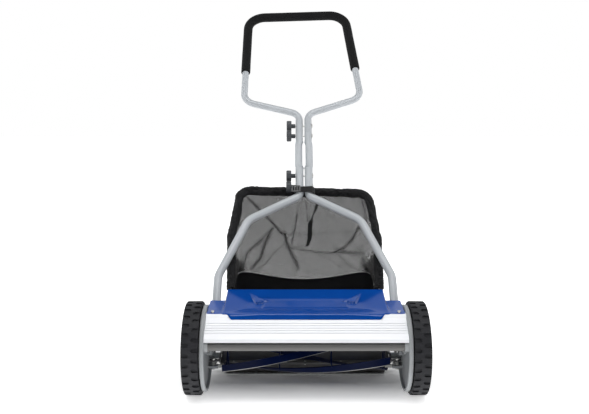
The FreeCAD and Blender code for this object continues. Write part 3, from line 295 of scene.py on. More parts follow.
RELIEF = make_group("grain_and_patches", {"Vector": None, "Grain": 0.002, "Patch": 0.08},
                    {"Fine": "Float", "Broad": "Float"}, fill_relief)
EDGES = make_group("worn_edges", {"Vector": None, "Radius": 0.0006},
                   {"Normal": "Vector", "Mask": "Float"}, fill_edges)
THREADS = make_group("plain_weave", {"Vector": None, "Pitch": 0.0015, "Thread": 1.0},
                     {"Height": "Float", "Solid": "Float"}, fill_threads)


def four(colour: Triple, factor: float = 1.0) -> tuple[float, float, float, float]:
    """Returns a colour, made brighter or darker, with its alpha."""
    return (colour[0] * factor, colour[1] * factor, colour[2] * factor, 1.0)


# ---- finishes ----------------------------------------------------------------------------
class Surface:
    """A material in the making, with the noise and the worn edges that it reads."""

    def __init__(self, name: str, grain: float = 0.0, patch: float = 0.0, edge: float = 0.0) -> None:
        """Starts the material.

        Args:
            name: The material's name.
            grain: Size of its fine noise, in metres; 0 where it has a noise of its own.
            patch: Size of its broad patches, in metres.
            edge: Radius that its sharp edges seem to have, in metres; 0 on cloth.
        """
        self.material = bpy.data.materials.new(name)
        self.material.use_nodes = True
        self.graph = Graph(self.material.node_tree)
        self.where = self.graph.place(PatternBase.OBJECT)
        if grain:
            relief = self.graph.group(RELIEF, {"Vector": self.where, "Grain": grain, "Patch": patch})
            self.fine, self.broad = relief["Fine"], relief["Broad"]
        if edge:
            edges = self.graph.group(EDGES, {"Vector": self.where, "Radius": edge})
            self.normal, self.worn = edges["Normal"], edges["Mask"]

    def toned(self, colour: Triple, low: float, high: float) -> Socket:
        """Returns a colour that is darker in some patches and lighter in others."""
        return self.graph.mix(self.graph.spread(self.broad), four(colour, low), four(colour, high))

    def spotted(self, base: Socket, share: Socket, amount: float, colour: Triple) -> Socket:
        """Returns a colour with another over it where a mask is, by an amount."""
        return self.graph.mix(self.graph.math("MULTIPLY", share, amount), base, four(colour))

    def bump(self, height: Socket, strength: float, distance: float, **below: Socket) -> Socket:
        """Returns the normal of a relief, over another one given as Normal."""
        inputs = {"Strength": strength, "Distance": distance, "Height": height, **below}
        return self.graph.add("ShaderNodeBump", inputs).outputs[0]

    def shade(self, inputs: dict[str | int, object]) -> bpy.types.Material:
        """Returns the material, with its shader's inputs filled."""
        self.graph.fill(self.material.node_tree.nodes["Principled BSDF"], inputs)
        return self.material


@dataclass(frozen=True)
class Enamel:
    """Sprayed colour over metal: a faint orange peel, uneven tone, and thinner paint on edges."""

    name: str
    colour: Triple
    roughness: float
    coat: float
    peel: float
    peel_depth: float
    speckle: float
    tone: float
    wear: Triple
    metallic: float = 0.0
    specular: float = 0.5
    edge: float = 0.0006
    wear_share: float = 0.25

    def material(self) -> bpy.types.Material:
        """Builds the finish.

        Returns:
            Its material.
        """
        surface = Surface(self.name, self.peel, 0.11, self.edge)
        graph = surface.graph
        base = surface.toned(self.colour, 1 - self.tone, 1 + self.tone)
        flecks = graph.remap(surface.fine, 0.62, 0.80, 0.0, self.speckle)
        base = graph.mix(flecks, base, four(self.wear))
        return surface.shade({
            "Base Color": surface.spotted(base, surface.worn, self.wear_share, self.wear),
            "Roughness": graph.spread(surface.broad, self.roughness * 0.88, self.roughness * 1.15),
            "Normal": surface.bump(surface.fine, self.peel_depth, 0.0004, Normal=surface.normal),
            "Coat Weight": self.coat, "Coat Roughness": 0.12,
            "Metallic": self.metallic, "Specular IOR Level": self.specular})


@dataclass(frozen=True)
class BareMetal:
    """Uncoated or plated metal, with the streaks of drawing or grinding along X."""

    name: str
    colour: Triple
    roughness: float
    streak: float
    streak_length: float = 0.06
    stain: Triple = (0.30, 0.28, 0.25)
    metallic: float = 1.0
    edge: float = 0.0004
    stain_share: float = 0.10
    streak_width: float = 1 / 1800

    def material(self) -> bpy.types.Material:
        """Builds the finish.

        Returns:
            Its material.
        """
        surface = Surface(self.name, 0.0012, 0.03, self.edge)
        graph = surface.graph
        drawn = (1 / self.streak_length, 1 / self.streak_width, 1 / self.streak_width)
        streaks = graph.noise(graph.vector("MULTIPLY", surface.where, drawn), 1.0)
        lines = graph.spread(streaks, 1 - self.streak, 1 + self.streak)
        tint = graph.vector("MULTIPLY", self.colour, lines)
        spots = graph.remap(surface.broad, 0.52, 0.75, 0.0, self.stain_share)
        return surface.shade({
            "Base Color": graph.mix(spots, tint, four(self.stain)),
            "Roughness": graph.spread(streaks, self.roughness * 0.8, self.roughness * 1.25),
            "Normal": surface.bump(streaks, 0.08, 0.0003, Normal=surface.normal),
            "Metallic": self.metallic})


@dataclass(frozen=True)
class Moulded:
    """Moulded plastic, rubber or foam: an even colour with a fine textured skin."""

    name: str
    colour: Triple
    roughness: float
    grain: float
    grain_depth: float
    tone: float
    dust_share: float = 0.06
    edge: float = 0.0005
    sheen: float = 0.0
    specular: float = 0.5
    dust: Triple = (0.30, 0.29, 0.27)
    edge_dust: float = 0.18

    def material(self) -> bpy.types.Material:
        """Builds the finish.

        Returns:
            Its material.
        """
        surface = Surface(self.name, self.grain, 0.05, self.edge)
        graph = surface.graph
        base = surface.toned(self.colour, 1 - self.tone, 1 + self.tone)
        dusty = graph.remap(surface.broad, 0.45, 0.75, 0.2, 1.0)
        base = surface.spotted(base, dusty, self.dust_share, self.dust)
        return surface.shade({
            "Base Color": surface.spotted(base, surface.worn, self.edge_dust, self.dust),
            "Roughness": graph.spread(surface.fine, self.roughness * 0.85, self.roughness * 1.12),
            "Normal": surface.bump(surface.fine, self.grain_depth, 0.0004, Normal=surface.normal),
            "Sheen Weight": self.sheen, "Specular IOR Level": self.specular})


@dataclass(frozen=True)
class Woven:
    """Woven cloth over the piece's own map, which is in metres; open where thread is below 1."""

    name: str
    colour: Triple
    pitch: float
    thread: float
    roughness: float
    depth: float
    tone: float
    sheen: float = 0.15
    crumple: float = 0.0
    specular: float = 0.16

    def material(self) -> bpy.types.Material:
        """Builds the finish.

        Returns:
            Its material.
        """
        surface = Surface(self.name, 0.0016, 0.04)
        graph = surface.graph
        thread: object = self.thread
        if self.thread < 1.0:
            # The net is drawn denser, so darker, where it is gathered at its folds and where it carries painted
            # shade.
            gather_and_shade = graph.add("ShaderNodeAttribute", attribute_name="gather").outputs["Fac"]
            closed_up = graph.math("MULTIPLY", gather_and_shade, 1 - self.thread)
            thread = graph.math("ADD", self.thread, closed_up, clamp=True)
        weave = graph.group(THREADS, {"Vector": graph.place(PatternBase.OWN_MAP), "Pitch": self.pitch,
                                      "Thread": thread})
        base = surface.toned(self.colour, 1 - self.tone, 1 + self.tone)
        # Painted highlight: the crowns of the threads are drawn lighter than the thread's own colour.
        base = graph.mix(graph.math("MULTIPLY", weave["Height"], 0.35), base, four(self.colour, 1.9))
        below = {}
        if self.crumple:
            creases = graph.group(RELIEF, {"Vector": surface.where, "Grain": 0.009, "Patch": 0.02})["Fine"]
            ridge = graph.math("ABSOLUTE", graph.math("SUBTRACT", creases, 0.5))
            ridge = graph.remap(ridge, 0.0, 0.12, 1.0, 0.0)
            # Painted highlight: the ridges of the creases are drawn lighter, up to 4.5 times the cloth's colour.
            base = graph.mix(graph.math("MULTIPLY", ridge, self.crumple), base, four(self.colour, 4.5))
            below["Normal"] = surface.bump(ridge, self.crumple, 0.0025)
        inputs = {
            "Base Color": base,
            "Roughness": graph.spread(surface.fine, self.roughness * 0.92, min(1.0, self.roughness * 1.08)),
            "Normal": surface.bump(weave["Height"], self.depth, self.pitch * 0.35, **below),
            "Sheen Weight": self.sheen, "Specular IOR Level": self.specular}
        if self.thread < 1.0:
            inputs["Alpha"] = weave["Solid"]
        return surface.shade(inputs)


@dataclass(frozen=True)
class GroundBlade:
    """Enamelled reel blade whose outer edge is ground bright, by distance from the reel's axis."""

    name: str
    colour: Triple
    bright: Triple
    axis: Vector
    edge_from: float
    edge_to: float
    uneven: float = 0.0008
    chipped: float = 0.08
    specular: float = 0.08

    def material(self) -> bpy.types.Material:
        """Builds the finish.

        Returns:
            Its material.
        """
        surface = Surface(self.name, 0.0011, 0.05, 0.0004)
        graph = surface.graph
        from_axis = graph.vector("SUBTRACT", surface.where, tuple(self.axis))
        reach = graph.measure("LENGTH", graph.vector("MULTIPLY", from_axis, (0.0, 1.0, 1.0)))
        wander = graph.math("MULTIPLY", graph.math("SUBTRACT", surface.broad, 0.5), self.uneven)
        ground = graph.remap(graph.math("ADD", reach, wander), self.edge_from, self.edge_to, 0.0, 1.0)
        paint = graph.mix(graph.math("MULTIPLY", surface.worn, self.chipped),
                          surface.toned(self.colour, 0.85, 1.2), four(self.bright, 0.6))
        return surface.shade({
            "Base Color": graph.mix(ground, paint, four(self.bright)),
            "Roughness": graph.remap(ground, 0.0, 1.0, 0.33, 0.30),
            "Normal": surface.bump(surface.fine, 0.08, 0.0003, Normal=surface.normal),
            "Metallic": ground, "Specular IOR Level": self.specular})


FINISHES = {finish.name: finish for finish in (
    Enamel("plate_paint", (0.34, 0.355, 0.365), 0.44, 0.08, 0.0016, 0.10, 0.40, 0.05, (0.58, 0.60, 0.61),
           specular=0.4),
    Enamel("blue_enamel", (0.0, 0.060, 0.335), 0.11, 0.0, 0.0013, 0.03, 0.0, 0.08, (0.10, 0.22, 0.55),
           specular=0.42),
    Enamel("handle_enamel", (0.50, 0.525, 0.55), 0.36, 0.10, 0.0010, 0.03, 0.03, 0.03, (0.66, 0.68, 0.70),
           metallic=0.05, specular=0.42),
    Enamel("grey_enamel", (0.125, 0.122, 0.118), 0.38, 0.15, 0.0012, 0.08, 0.15, 0.06, (0.35, 0.34, 0.33)),
    Enamel("dark_enamel", (0.060, 0.060, 0.061), 0.40, 0.10, 0.0012, 0.10, 0.10, 0.12, (0.20, 0.20, 0.20)),
    GroundBlade("reel_enamel", (0.0006, 0.0045, 0.030), (0.40, 0.40, 0.39), REEL_AXIS, 0.0668, 0.0674),
    BareMetal("shield_aluminium", (0.86, 0.87, 0.895), 0.52, 0.02, 0.20, (0.83, 0.835, 0.85), 0.40),
    BareMetal("zinc_steel", (0.66, 0.66, 0.64), 0.32, 0.08),
    BareMetal("ground_steel", (0.17, 0.17, 0.17), 0.42, 0.14),
    Moulded("tyre_rubber", (0.014, 0.0145, 0.018), 0.66, 0.0009, 0.25, 0.12, 0.015, specular=0.35),
    Moulded("wheel_plastic", (0.030, 0.030, 0.032), 0.48, 0.0006, 0.18, 0.10, 0.04),
    Moulded("cap_plastic", (0.026, 0.026, 0.028), 0.30, 0.0005, 0.08, 0.10, 0.03),
    Moulded("knob_plastic", (0.045, 0.050, 0.058), 0.46, 0.0006, 0.20, 0.10),
    Moulded("nylon", (0.055, 0.055, 0.055), 0.45, 0.0006, 0.12, 0.12),
    Moulded("buckle_plastic", (0.060, 0.061, 0.064), 0.36, 0.0005, 0.08, 0.06),
    Moulded("grip_foam", (0.007, 0.007, 0.0075), 0.92, 0.0013, 0.60, 0.15, 0.004, 0.0012, 0.02, 0.2),
    Woven("hem_fabric", (0.0075, 0.0075, 0.0080), 0.0010, 1.0, 0.60, 0.35, 0.40, 0.03, 0.6),
    Woven("tray_fabric", (0.010, 0.010, 0.011), 0.0011, 1.0, 0.60, 0.25, 0.12, 0.02),
    Woven("mesh_fabric", (0.016, 0.0155, 0.015), 0.0021, 0.67, 0.75, 0.4, 0.15),
    Woven("webbing", (0.030, 0.030, 0.032), 0.0016, 1.0, 0.75, 0.9, 0.10),
    Woven("black_webbing", (0.014, 0.014, 0.014), 0.0016, 1.0, 0.8, 0.9, 0.12),
    # The binding's pale grey is a painted highlight along the seam.
    Woven("piping", (0.42, 0.42, 0.41), 0.0010, 1.0, 0.7, 0.4, 0.08),
)}


@functools.cache
def finish_of(slot: str) -> bpy.types.Material:
    """Returns the material of a finish, made once."""
    return FINISHES[slot].material()


def dress_frame() -> None:
    """Gives every node of the frame the finish of its slot in the record."""
    slots = {part["node"]: part["material_slot"] for part in frame["record"]["subparts"]}
    for name, thing in frame["nodes"].items():
        thing.data.materials.clear()
        thing.data.materials.append(finish_of(slots[name]))
        log.info("dressed %s in %s", name, slots[name])


# ---- the stage ---------------------------------------------------------------------------
@dataclass(frozen=True)
class Panel:
    """A soft rectangular light that faces a target."""

    name: str
    place: Triple
    target: Triple
    size: Pair
    power: float

    def hang(self) -> None:
        """Adds the light."""
        data = bpy.data.lights.new(self.name, "AREA")
        data.shape = "RECTANGLE"
        data.size, data.size_y = self.size
        data.energy = self.power
        light = bpy.data.objects.new(self.name, data)
        light.location = self.place
        light.rotation_euler = (Vector(self.target) - Vector(self.place)).to_track_quat("-Z", "Y").to_euler()
        bpy.context.scene.collection.objects.link(light)


@dataclass(frozen=True)
class Studio:
    """Pale floor, soft lights and the camera.

    A ramp carries a direction's part, from one value to another, onto a pair of strengths.
    """

    camera_side: float = -0.0306
    camera_back: float = 1.967
    camera_height: float = 0.793
    camera_tilt: float = 82.0
    lens: float = 45.46
    floor_size: float = 30.0
    floor_tones: Pair = (0.93, 0.95)
    shade_half: Triple = (0.24, 0.30, 9.0)
    shade_edge: Pair = (0.03, 0.20)
    floor_glow: float = 0.80
    sky_tint: Triple = (0.97, 0.985, 1.0)
    wall_top: Ramp = (0.74, 0.83, 0.85, 0.05)
    wall_foot: Ramp = (0.0, 0.30, 0.12, 1.0)
    ceiling: Ramp = (0.92, 0.99, 0.0, 0.70)
    dark_side: Ramp = (-0.60, 0.30, 0.16, 1.0)
    panels: tuple[Panel, ...] = (
        Panel("top_light", (0.0, -1.00, 3.0), (0.0, -0.70, 0.3), (3.0, 1.4), 50.0),
        Panel("left_light", (-2.8, 0.6, 1.8), (0.0, -0.2, 0.4), (1.0, 2.0), 10.0),
        Panel("right_light", (2.8, 0.6, 1.8), (0.0, -0.2, 0.4), (1.0, 2.0), 10.0),
        Panel("front_light", (0.0, -3.6, 2.2), (0.0, -0.4, 0.3), (2.2, 0.8), 5.0),
    )

    def camera(self) -> None:
        """Adds the camera."""
        data = bpy.data.cameras.new("camera")
        data.lens = self.lens
        data.sensor_width = 36.0
        data.clip_end = 60.0
        camera = bpy.data.objects.new("camera", data)
        camera.location = (self.camera_side, AXLE.y - self.camera_back, self.camera_height)
        camera.rotation_euler = (math.radians(self.camera_tilt), 0.0, 0.0)
        bpy.context.scene.collection.objects.link(camera)
        bpy.context.scene.camera = camera

    def floor(self) -> None:
        """Adds the floor: white, and lit up away from the mower so that it ends nowhere."""
        deselect()
        bpy.ops.mesh.primitive_plane_add(size=self.floor_size, location=(0.0, 0.0, -0.0005))
        floor = bpy.context.active_object
        floor.name = "floor"
        surface = Surface("floor")
        graph = surface.graph
        under = graph.vector("SUBTRACT", graph.vector("ABSOLUTE", surface.where), self.shade_half)
        away = graph.measure("LENGTH", graph.vector("MAXIMUM", under, (0.0, 0.0, 0.0)))
        low, high = (four((tone, tone, tone)) for tone in self.floor_tones)
        floor.data.materials.append(surface.shade({
            "Base Color": graph.mix(graph.spread(graph.noise(surface.where, 3.0, 3.0)), low, high),
            "Roughness": 0.9, "Specular IOR Level": 0.1, "Emission Color": (1.0, 1.0, 1.0, 1.0),
            "Emission Strength": graph.remap(away, *self.shade_edge, 0.0, self.floor_glow)}))

    def world(self) -> None:
        """Sets a world that is white to the camera and shaded to the mower."""
        world = bpy.data.worlds.new("studio")
        world.use_nodes = True
        bpy.context.scene.world = world
        graph = Graph(world.node_tree)
        seen = world.node_tree.nodes["Background"]
        graph.fill(seen, {"Color": (1.0, 1.0, 1.0, 1.0), "Strength": 1.0})
        place = graph.add("ShaderNodeTexCoord").outputs["Generated"]
        way = graph.add("ShaderNodeSeparateXYZ", {0: place}).outputs
        wall = graph.math("MULTIPLY", graph.remap(way[2], *self.wall_top),
                          graph.remap(way[2], *self.wall_foot))
        glow = graph.math("ADD", wall, graph.remap(way[2], *self.ceiling))
        strength = graph.math("MULTIPLY", graph.remap(way[1], *self.dark_side), glow)
        felt = graph.add("ShaderNodeBackground", {"Color": four(self.sky_tint), "Strength": strength})
        path = graph.add("ShaderNodeLightPath")
        both = graph.add("ShaderNodeMixShader", {0: path.outputs["Is Camera Ray"], 1: felt.outputs[0],
                                                 2: seen.outputs[0]})
        graph.fill(world.node_tree.nodes["World Output"], {0: both.outputs[0]})
        bpy.context.scene.view_settings.view_transform = "Standard"

    def build(self) -> None:
        """Sets up the whole stage."""
        self.camera()
        self.floor()
        for panel in self.panels:
            panel.hang()
        self.world()


# ---- modelling helpers -------------------------------------------------------------------
def deselect() -> None:
    """Leaves edit mode and selects nothing."""
    if bpy.context.object and bpy.context.object.mode != "OBJECT":
        bpy.ops.object.mode_set(mode="OBJECT")
    bpy.ops.object.select_all(action="DESELECT")


def make_active(thing: Thing) -> None:
    """Selects one object alone and makes it the active one.

    Args:
        thing: The object.
    """
    deselect()
    thing.select_set(True)
    bpy.context.view_layer.objects.active = thing


def edit_all(thing: Thing) -> None:
    """Goes into edit mode with the whole mesh selected.

    Args:
        thing: The object to edit.
    """
    make_active(thing)
    bpy.ops.object.mode_set(mode="EDIT")
    bpy.ops.mesh.select_all(action="SELECT")


def leave_edit() -> None:
    """Goes back to object mode."""
    bpy.ops.object.mode_set(mode="OBJECT")


def apply_transform(thing: Thing) -> Thing:
    """Puts an object's place, turn and size into its mesh.

    Args:
        thing: The object.

    Returns:
        The same object.
    """
    make_active(thing)
    bpy.ops.object.transform_apply(location=True, rotation=True, scale=True)
    return thing


def apply_modifier(thing: Thing, kind: str, **settings: object) -> None:
    """Adds a modifier with its settings and applies it.

    Args:
        thing: The object to change.
        kind: The modifier's type.
        **settings: The modifier's own properties.
    """
    make_active(thing)
    modifier = thing.modifiers.new(kind.lower(), kind)
    for name, value in settings.items():
        setattr(modifier, name, value)
    bpy.ops.object.modifier_apply(modifier=modifier.name)


def cut_out(thing: Thing, cutter: Thing) -> None:
    """Takes a cutter's shape out of an object, and removes the cutter."""
    apply_modifier(thing, "BOOLEAN", object=cutter, operation="DIFFERENCE", solver="EXACT")
    bpy.data.objects.remove(cutter)


def own_copy(thing: Thing) -> Thing:
    """Copies an object into the scene.

    Args:
        thing: The object.

    Returns:
        Its copy, with a mesh of its own.
    """
    twin = thing.copy()
    twin.data = thing.data.copy()
    bpy.context.scene.collection.objects.link(twin)
    return twin


def join(pieces: Sequence[Thing]) -> Thing:
    """Joins objects into one.

    Args:
        pieces: The objects.

    Returns:
        The first of them, which now holds all.
    """
    make_active(pieces[0])
    for piece in pieces[1:]:
        piece.select_set(True)
    bpy.ops.object.join()
    return pieces[0]


def block(middle: Sequence[float], size: Triple) -> Thing:
    """Adds a cuboid.

    Args:
        middle: Its middle, in metres.
        size: Its length each way, in millimetres.

    Returns:
        The cuboid, with its place and size in its mesh.
    """
    deselect()
    bpy.ops.mesh.primitive_cube_add(size=1.0, location=middle, scale=[length * MM for length in size])
    return apply_transform(bpy.context.active_object)


class Part(Enum):
    """The kind of mesh element that is picked in edit mode."""

    VERTEX = "VERT"
    EDGE = "EDGE"
    FACE = "FACE"


def pick(thing: Thing, kind: Part, wanted: Callable[[Vector, Vector], bool]) -> None:
    """Goes into edit mode and selects the elements that a test wants.

    Args:
        thing: The object to edit.
        kind: Vertices, edges or faces.
        wanted: Given an element's middle, and its normal (an edge's own direction), says
            whether to select it.
    """
    edit_all(thing)
    bpy.ops.mesh.select_mode(type=kind.value)
    bpy.ops.mesh.select_all(action="DESELECT")
    mesh = bmesh.from_edit_mesh(thing.data)
    if kind is Part.VERTEX:
        found = [(vertex, vertex.co, vertex.normal) for vertex in mesh.verts]
    elif kind is Part.EDGE:
        ends = [(edge, edge.verts[0].co, edge.verts[1].co) for edge in mesh.edges]
        found = [(edge, (first + second) / 2, (second - first).normalized()) for edge, first, second in ends]
    else:
        found = [(face, face.calc_center_median(), face.normal) for face in mesh.faces]
    for element, middle, way in found:
        if wanted(middle, way):
            element.select_set(True)
    mesh.select_flush_mode()
    bmesh.update_edit_mesh(thing.data)


def round_edges(thing: Thing, wanted: Callable[[Vector, Vector], bool], radius: float, segments: int) -> None:
    """Bevels the edges that a test wants.

    Args:
        thing: The object to change.
        wanted: Given an edge's middle and direction, says whether to bevel it.
        radius: The bevel's width, in millimetres.
        segments: How many faces it has across.
    """
    pick(thing, Part.EDGE, wanted)
    bpy.ops.mesh.bevel(offset=radius * MM, segments=segments)
    leave_edit()


def outward(thing: Thing) -> None:
    """Turns every face of a closed piece outward.

    Args:
        thing: The piece.
    """
    edit_all(thing)
    bpy.ops.mesh.normals_make_consistent(inside=False)
    leave_edit()


def hand_over(thing: Thing, name: str, body: str, slot: str, replaced: Sequence[str] = (),
              angle: float | None = None, finish: str = "") -> Thing:
    """Names and dresses a finished piece, and says what it rides on and stands for.

    Args:
        thing: The finished object.
        name: The piece's name.
        body: The body that it moves with.
        slot: The material slot whose finish it takes.
        replaced: Nodes of the frame that it is seen in place of.
        angle: Edges sharper than this stay sharp; None leaves the shading smooth all over.
        finish: The finish, where it isn't the slot's own.

    Returns:
        The object.
    """
    thing.name = name
    thing.data.name = name
    thing.data.materials.clear()
    thing.data.materials.append(finish_of(finish or slot))
    make_active(thing)
    if angle is None:
        bpy.ops.object.shade_smooth()
    else:
        bpy.ops.object.shade_smooth_by_angle(angle=math.radians(angle))
    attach(thing, body)
    if replaced:
        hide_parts(*replaced)
    log.info("built %s: %d faces", name, len(thing.data.polygons))
    return thing


def smooth_share(value: float, low: float, high: float) -> float:
    """Returns 0 below low, 1 above high, and a smooth rise between."""
    share = min(1.0, max(0.0, (value - low) / (high - low)))
    return share * share * (3 - 2 * share)


# ---- helpers for cloth and padding -------------------------------------------------------
def reaches(path: Sequence[Vector]) -> list[float]:
    """Measures along a path.

    Args:
        path: Its points.

    Returns:
        How far along it each point is.
    """
    found = [0.0]
    for first, second in zip(path, path[1:]):
        found.append(found[-1] + (second - first).length)
    return found


def evenly(path: Sequence[Vector], step: float) -> list[Vector]:
    """Spaces points evenly along a path.

    Args:
        path: Its points.
        step: The wanted distance between points of the result.

    Returns:
        The new points, the two ends among them.
    """
    reach = reaches(path)
    count = max(2, round(reach[-1] / step))
    found = []
    piece = 0
    for k in range(count + 1):
        goal = reach[-1] * k / count
        while piece < len(path) - 2 and reach[piece + 1] < goal:
            piece += 1
        span = max(reach[piece + 1] - reach[piece], 1e-9)
        found.append(path[piece].lerp(path[piece + 1], min(1.0, (goal - reach[piece]) / span)))
    return found


def rounded_run(points: Sequence[Vector], radii: Sequence[float], step: float) -> list[Vector]:
    """Walks a run of straight lines whose corners are rounded by arcs.

    Args:
        points: The corners, with the two ends.
        radii: The arc's radius at each corner between the ends.
        step: The distance between points of the result.

    Returns:
        Points evenly spaced along the run.
    """
    path = [points[0]]
    for before, corner, after, radius in zip(points, points[1:], points[2:], radii):
        back = (before - corner).normalized()
        ahead = (after - corner).normalized()
        half = back.angle(ahead) / 2
        reach = radius / math.tan(half)
        centre = corner + (back + ahead).normalized() * (radius / math.sin(half))
        first = corner + back * reach - centre
        last = corner + ahead * reach - centre
        turn = first.angle(last)
        count = max(2, round(turn * radius / step))
        for k in range(count + 1):
            share = k / count
            arm = first * math.sin(turn * (1 - share)) + last * math.sin(turn * share)
            path.append(centre + arm / math.sin(turn))
    path.append(points[-1])
    return evenly(path, step)


def cloth(name: str, points: Sequence[Sequence[Vector]], place: Callable[[int, int], Pair],
          ringed: bool = False, ends: Sequence[Vector] = ()) -> Thing:
    """Makes a soft piece from rows of points.

    Args:
        name: The piece's name.
        points: The rows, all equally long.
        place: Gives the flat place, in metres, of a numbered row's numbered point.
        ringed: Whether the last row joins up with the first.
        ends: The middles of a tube's two ends. With them each row joins up with its own
            start, and the ends are closed.

    Returns:
        The object, with a map in metres.
    """
    columns = len(points[0])
    verts = [point for row in points for point in row]
    faces = []
    uvs = []
    for row in range(len(points) - (not ringed)):
        for k in range(columns - (not ends)):
            corners = ((row, k), (row, k + 1), (row + 1, k + 1), (row + 1, k))
            faces.append([at % len(points) * columns + number % columns for at, number in corners])
            uvs += [place(*corner) for corner in corners]
    for start, middle in zip((0, len(verts) - columns), ends):
        for k in range(columns):
            faces.append([len(verts), start + (k + 1) % columns, start + k])
            uvs += [place(0, 0), place(0, 1), place(0, 0)]
        verts.append(middle)
    mesh = bpy.data.meshes.new(name)
    mesh.from_pydata([tuple(point) for point in verts], [], faces)
    layer = mesh.uv_layers.new(name="cloth_map")
    layer.data.foreach_set("uv", [value for pair in uvs for value in pair])
    mesh.update()
    thing = bpy.data.objects.new(name, mesh)
    bpy.context.scene.collection.objects.link(thing)
    return thing


def sleeve(name: str, path: Sequence[Vector], around: int, radius: Callable[[float, float], float]) -> Thing:
    """Makes a closed soft tube along a path, whose rings are carried along without twist.

    Args:
        name: The piece's name.
        path: Evenly spaced points along the middle.
        around: Points round each ring.
        radius: The tube's radius at a distance along it and an angle round it.

    Returns:
        The object, with a map in metres.
    """
    reach = reaches(path)
    girth = math.tau * radius(reach[-1] / 2, 0.0)
    angles = [math.tau * k / around for k in range(around)]
    side = (path[1] - path[0]).normalized().orthogonal().normalized()
    rings = []
    for k, middle in enumerate(path):
        ahead = (path[min(k + 1, len(path) - 1)] - path[max(k - 1, 0)]).normalized()
        side = (side - ahead * side.dot(ahead)).normalized()
        rise = ahead.cross(side)
        rings.append([middle + (side * math.cos(angle) + rise * math.sin(angle)) * radius(reach[k], angle)
                      for angle in angles])
    thing = cloth(name, rings, lambda row, k: (reach[row], girth * k / around), ends=(path[0], path[-1]))
    outward(thing)
    return thing


def round_noise(along: float, angle: float, around: float = 1.0) -> float:
    """Returns a noise on a tube, which closes on itself, at a distance along and an angle round."""
    return noise.noise(Vector((along, math.cos(angle) * around, math.sin(angle) * around)))


# ---- the grass catcher -------------------------------------------------------------------
NOISE_SHIFT = Vector((3.1, 0.0, 0.0))


@dataclass(frozen=True)
class Fold:
    """A crease in the net, as a line of points across and up its back, in millimetres."""

    points: tuple[Pair, ...]
    width: float
    gather: float
    rise: float

    def nearness(self, x: float, z: float) -> float:
        """Measures how near a place is to the crease.

        Args:
            x: Place across the mower.
            z: Height above the lawn.

        Returns:
            1 on the crease, falling to 0 at three times its width.
        """
        here = Vector((x, z))
        best = math.inf
        for first, second in zip(self.points, self.points[1:]):
            start, end = Vector(first), Vector(second)
            run = end - start
            share = min(1.0, max(0.0, (here - start).dot(run) / run.length_squared))
            best = min(best, (here - start - run * share).length)
        away = best / self.width
        return math.exp(-away * away) if away < 3.0 else 0.0


NET_FOLDS = (
    Fold(((-178, 490), (-128, 440), (-77, 389), (-58, 382)), 3.5, 0.65, 5.0),
    Fold(((-62, 384), (-52, 352), (-34, 326), (-20, 304)), 6.0, 0.5, 8.0),
    Fold(((-22, 438), (-30, 400), (-39, 362)), 3.0, 0.45, 3.0),
    Fold(((5, 482), (9, 450), (13, 420)), 2.5, 0.25, 3.0),
    Fold(((-56, 385), (60, 386), (172, 386)), 3.0, 0.14, 1.0),
    Fold(((-44, 352), (22, 342), (96, 332), (104, 346)), 2.5, 0.35, 3.0),
    Fold(((98, 334), (128, 344), (152, 362), (174, 396)), 4.0, 0.55, 7.0),
    Fold(((-106, 392), (-128, 352), (-142, 312), (-168, 280)), 6.0, 0.5, 9.0),
    Fold(((-102, 396), (-150, 352), (-186, 322), (-190, 300)), 5.0, 0.4, 8.0),
    Fold(((-236, 452), (-214, 420), (-196, 396)), 3.5, 0.4, 4.0),
    Fold(((-214, 404), (-222, 366), (-232, 340)), 3.5, 0.4, 4.0),
    Fold(((-58, 364), (-96, 336), (-130, 298), (-164, 268)), 2.0, 0.3, 2.5),
    Fold(((24, 346), (84, 316), (152, 268)), 2.0, 0.15, 2.0),
    Fold(((104, 332), (140, 300), (182, 268)), 3.0, 0.25, 4.0),
    Fold(((186, 478), (194, 450), (198, 412)), 3.0, 0.4, 3.0),
    Fold(((110, 338), (160, 326), (196, 318)), 5.0, 0.35, 8.0),
)


